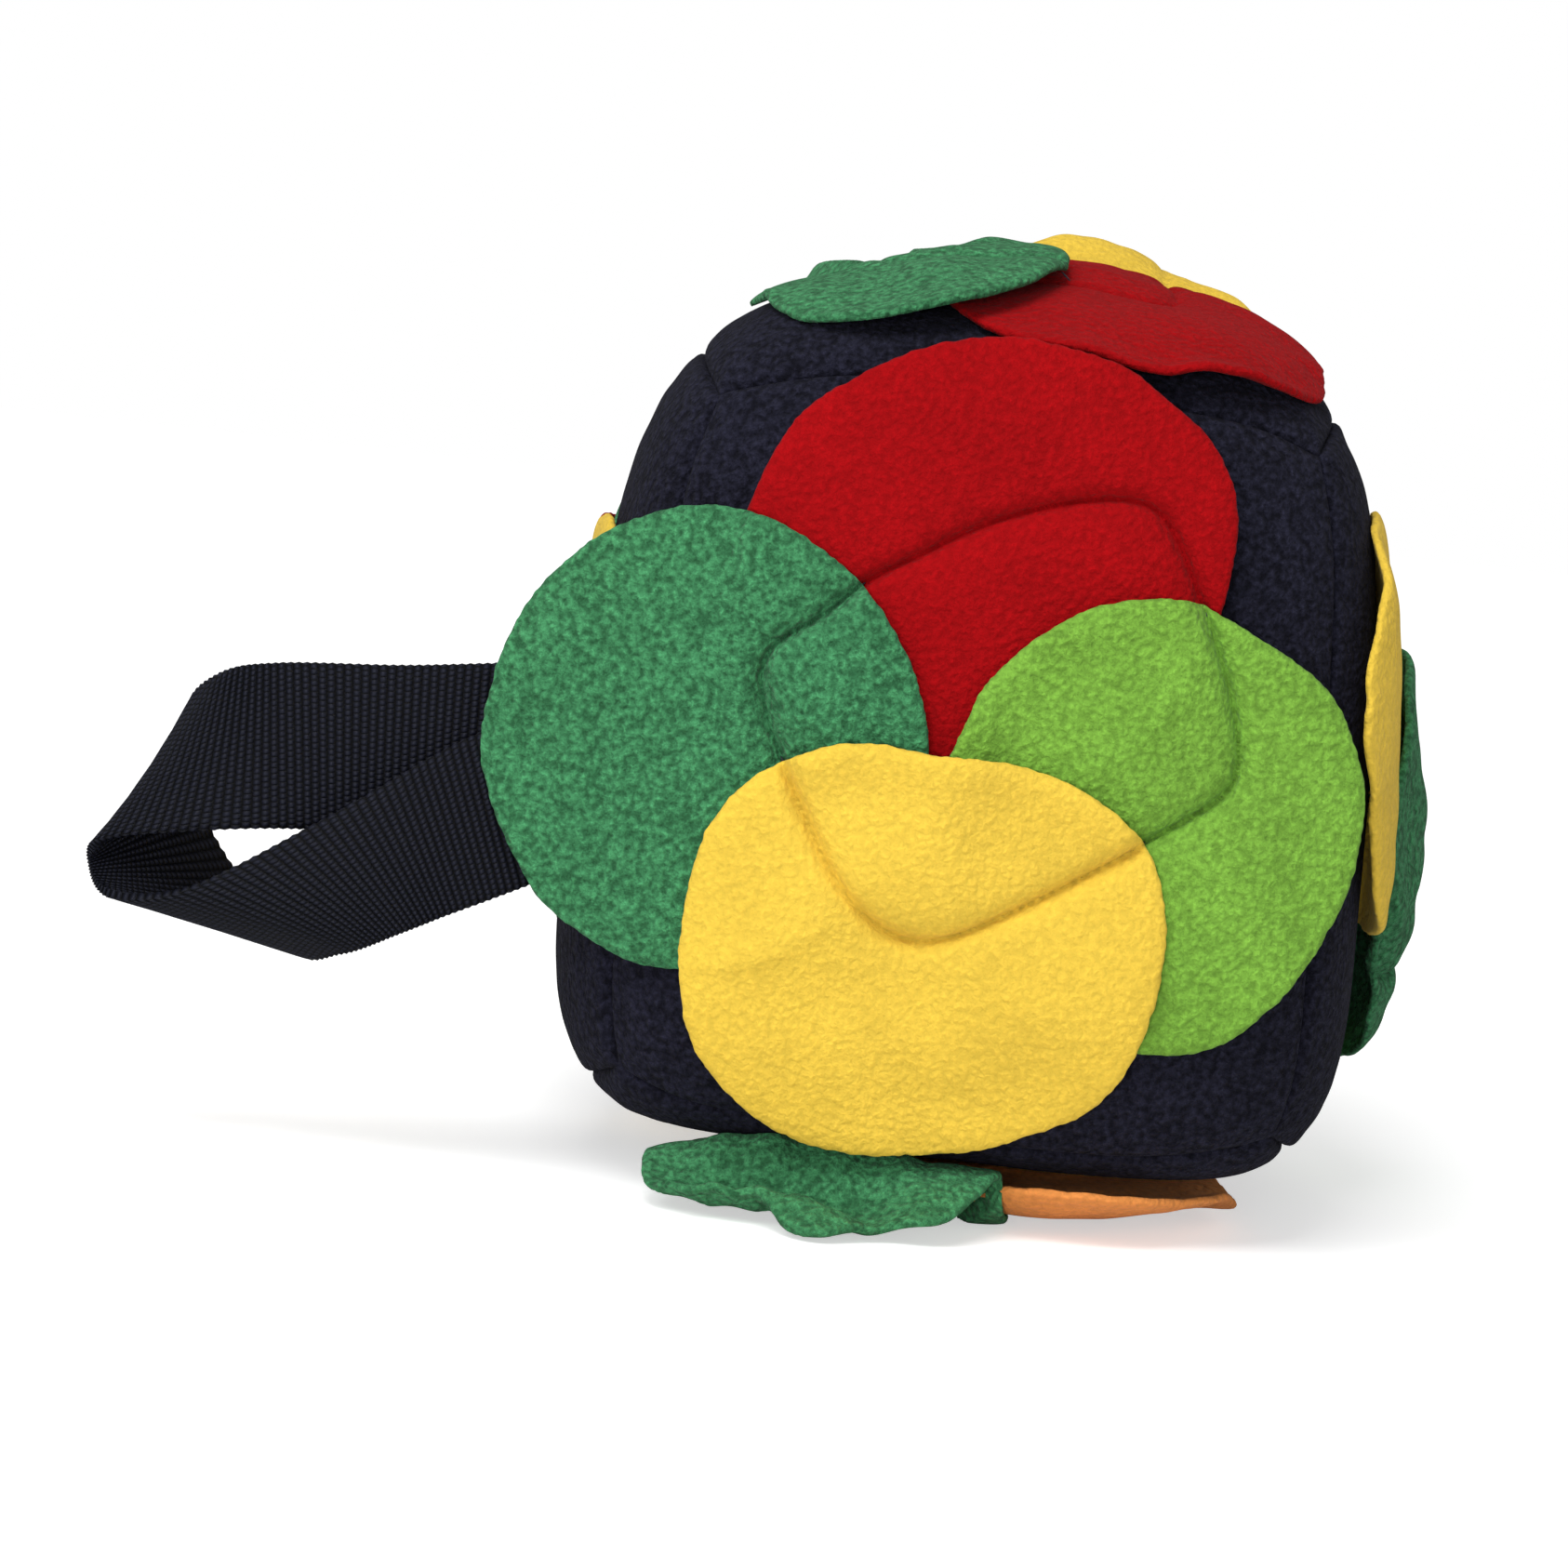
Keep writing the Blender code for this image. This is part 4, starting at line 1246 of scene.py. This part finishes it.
# %% Route of the webbing
webbing_width = 38 * mm
webbing_thickness = 1.8 * mm
fold_point = Vector(joints["handle"]["pos_m"])
handle_reach = 94 * mm
loop_depth = 26 * mm
loop_shares = (  # outer and inner edge: shares of handle_reach, of webbing_width and of loop_depth
    ((0.00, 0.36, 0.0), (0.00, -0.64, 0.0)),
    ((0.28, 0.27, 0.03), (0.26, -0.72, 0.03)),
    ((0.58, 0.20, 0.12), (0.54, -0.77, 0.10)),
    ((0.72, 0.09, 0.22), (0.78, -0.86, 0.17)),
    ((0.795, -0.21, 0.58), (0.965, -0.97, 0.28)),
    ((0.745, -0.86, 0.96), (0.995, -1.12, 0.36)),
    ((0.50, -1.50, 0.60), (0.93, -1.27, 0.16)),
    ((0.36, -1.46, 0.16), (0.74, -1.17, -0.02)),
    ((0.22, -1.29, -0.06), (0.46, -0.72, -0.09)),
    ((0.12, -1.16, -0.10), (0.28, -0.40, -0.10)),
    ((0.03, -1.05, -0.10), (0.17, -0.20, -0.10)),
    ((-0.10, -0.89, -0.06), (0.02, 0.03, -0.08)),
)
root_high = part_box("handle_root")[1]
seam_end = Vector((root_high.x, root_high.y, fold_point.z))
root_bend = 9 * mm                    # how far from the seam the double end turns outwards
root_gap = 0.2 * mm
root_top, seam_bottom, fold_bottom = 0.36, -0.64, -0.98     # shares of webbing_width
rows_between = 26
cells_across = 18
rib_pitch = 1.85 * mm
rows_in_rib = 4


def root_edges(share, lift):
    """Upper and lower edge of the band between the seam, at share 0, and the fold, at share 1."""
    bend = Vector((seam_end.x - root_bend, fold_point.y, 0))
    start = Vector((seam_end.x, seam_end.y, 0))
    end = Vector((fold_point.x, fold_point.y, 0))
    first = start.lerp(bend, share * 2) if share < 0.5 else bend.lerp(end, share * 2 - 1)
    rises = (root_top, seam_bottom + (fold_bottom - seam_bottom) * share)
    return [Vector((first.x, first.y + lift, fold_point.z + rise * webbing_width)) for rise in rises]


def edge_keys(edge):
    """Key places of one edge of the band, from the seam and round the loop."""
    keys = [root_edges(share, webbing_thickness / 2 + root_gap)[edge] for share in (0, 0.25, 0.5, 0.75)]
    for pair in loop_shares:
        reach, rise, depth = pair[edge]
        keys.append(fold_point + Vector((-reach * handle_reach, depth * loop_depth - webbing_thickness / 2,
                                         rise * webbing_width)))
    return keys


def smooth_path(keys, between):
    """Points on the smooth curve through the keys."""
    padded = [2 * keys[0] - keys[1], *keys, 2 * keys[-1] - keys[-2]]
    path = []
    for index in range(len(keys) - 1):
        before, start, end, after = padded[index:index + 4]
        for step in range(between):
            share = step / between
            slope_in, slope_out = (end - before) / 2, (after - start) / 2
            square, cube = share**2, share**3
            path.append(start * (2 * cube - 3 * square + 1) + slope_in * (cube - 2 * square + share)
                        + end * (3 * square - 2 * cube) + slope_out * (cube - square))
    return path + [keys[-1]]


def even_rows(first, second, spacing):
    """Both edges again, with rows at even distances along the middle of the band."""
    edges = np.array([first, second])
    steps = np.linalg.norm(np.diff(edges.mean(0), axis=0), axis=1)
    lengths = np.concatenate([[0], np.cumsum(steps)])
    wanted = np.arange(0, lengths[-1], spacing)
    return [[Vector(point) for point in np.stack([np.interp(wanted, lengths, edge[:, axis])
                                                  for axis in range(3)], axis=1)] for edge in edges]


outer_edge, inner_edge = even_rows(smooth_path(edge_keys(0), rows_between),
                                   smooth_path(edge_keys(1), rows_between), rib_pitch / rows_in_rib)
print("webbing rows:", len(outer_edge), "length in mm:",
      round(sum((b - a).length for a, b in zip(outer_edge, outer_edge[1:])) / mm))

# %% Webbing material
float_length = 1.3 * mm         # length of each visible piece of yarn
rib_relief = 0.18 * mm
weave_relief = 0.45 * mm
yarn_fibre = 0.35 * mm
fibre_part = 0.5
rib_power, float_power = 0.8, 0.5
weave_range = (0.2, 1)
# Painted shade between the floats and painted highlight on their tops, and the yarn's fibres painted lighter
# where they stand higher.
weave_painted_shade_and_highlight = (0.1, 1.75)      # between the floats and on them
yarn_painted_shading = (0.75, 1.3)


def make_webbing_material():
    """Woven nylon: ribs across the band, made of short floats of yarn. The map runs in metres."""
    material, tree, coordinates = start_material("navy_webbing", Roughness=0.5, Specular_IOR_Level=0.16)
    band = add_node(tree, "ShaderNodeUVMap", uv_map="band")["UV"]
    split = add_node(tree, "ShaderNodeSeparateXYZ", {"Vector": band})
    ribs = add_math(tree, "DIVIDE", split["X"], rib_pitch)
    half_step = multiply(tree, add_math(tree, "FLOOR", ribs), 0.5)
    floats = add_math(tree, "ADD", add_math(tree, "DIVIDE", split["Y"], float_length), half_step)
    rounds = []
    for part, power in ((ribs, rib_power), (floats, float_power)):
        swell = add_math(tree, "SINE", multiply(tree, add_math(tree, "FRACT", part), math.pi))
        rounds.append(add_math(tree, "POWER", swell, power))
    weave = multiply(tree, *rounds)
    fibres = add_noise(tree, coordinates, yarn_fibre, 3, 0.6)
    height = add_math(tree, "ADD", weave, multiply(tree, fibres, fibre_part))
    # The colour is painted darker between the floats and lighter on them and on the raised fibres: painted
    # shade and painted highlight that follow the bump.
    shade = multiply(tree, add_range(tree, weave, *weave_range, *weave_painted_shade_and_highlight),
                     add_range(tree, fibres, *noise_range, *yarn_painted_shading))
    dress(tree, (0.0058, 0.0066, 0.0128), shade, height, depth=weave_relief)
    return material


webbing_material = make_webbing_material()
print("ribs are", round(rib_pitch / mm, 2), "mm apart")

# %% Webbing mesh
def raise_ribs(mesh):
    """Moves the points of the band in and out, so that its faces and its edges have the ribs' relief."""
    along = [0.0] * len(mesh.vertices)
    for loop, place in zip(mesh.loops, mesh.uv_layers["band"].data):
        along[loop.vertex_index] = place.uv[0]
    normals = [vertex.normal.copy() for vertex in mesh.vertices]
    for vertex, normal, place in zip(mesh.vertices, normals, along):
        vertex.co -= normal * rib_relief * math.cos(math.tau * place / rib_pitch)


def make_webbing():
    """The band between its two edges, with a map in metres that runs along it and across it."""
    rows, columns = len(outer_edge), cells_across + 1
    middle = [(a + b) / 2 for a, b in zip(outer_edge, inner_edge)]
    along = [0.0]
    for before, after in zip(middle, middle[1:]):
        along.append(along[-1] + (after - before).length)
    points, places = [], []
    for row in range(rows):
        for column in range(columns):
            share = column / cells_across
            points.append(outer_edge[row].lerp(inner_edge[row], share))
            places.append((along[row], share * webbing_width))
    faces = [(row * columns + c, row * columns + c + 1, (row + 1) * columns + c + 1, (row + 1) * columns + c)
             for row in range(rows - 1) for c in range(cells_across)]
    mesh = bpy.data.meshes.new("handle_webbing")
    mesh.from_pydata([tuple(point) for point in points], [], faces)
    band = mesh.uv_layers.new(name="band")
    for loop in mesh.loops:
        band.data[loop.index].uv = places[loop.vertex_index]
    mesh.materials.append(webbing_material)
    mesh.shade_smooth()
    webbing = add_object("handle_webbing", mesh)
    wall = webbing.modifiers.new("Thickness", "SOLIDIFY")
    wall.thickness = webbing_thickness
    wall.offset = 0
    wall.use_even_offset = True
    evaluated = webbing.evaluated_get(bpy.context.evaluated_depsgraph_get())
    solid = bpy.data.meshes.new_from_object(evaluated)
    webbing.modifiers.remove(wall)
    webbing.data = solid
    solid.name = "handle_webbing"
    point_outwards(solid)
    raise_ribs(solid)
    solid.shade_smooth()
    return webbing


webbing = make_webbing()
print("webbing faces:", len(webbing.data.polygons))

# %% [markdown]
# ## Joining the pieces to the frame
# Panels, filling and stitching ride on the cube, and the solids of the panels and the stuffing are hidden.
# A petal bends where its stitches end and the webbing at its fold, but here petals and webbing keep their
# places as plain meshes, and their solids are hidden too.

for face in FACES:
    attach(panels[face], "cube")
    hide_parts(f"{face}_panel")
    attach(stitching[face], "cube")
    for petal in petals[face]:
        piece = petal_pieces[petal.name]
        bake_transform(piece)
        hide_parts(f"{petal.name}_sewn", f"{petal.name}_flap")

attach(filling, "cube")
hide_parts("stuffing")
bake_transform(webbing)
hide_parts("handle_root", "handle_loop")
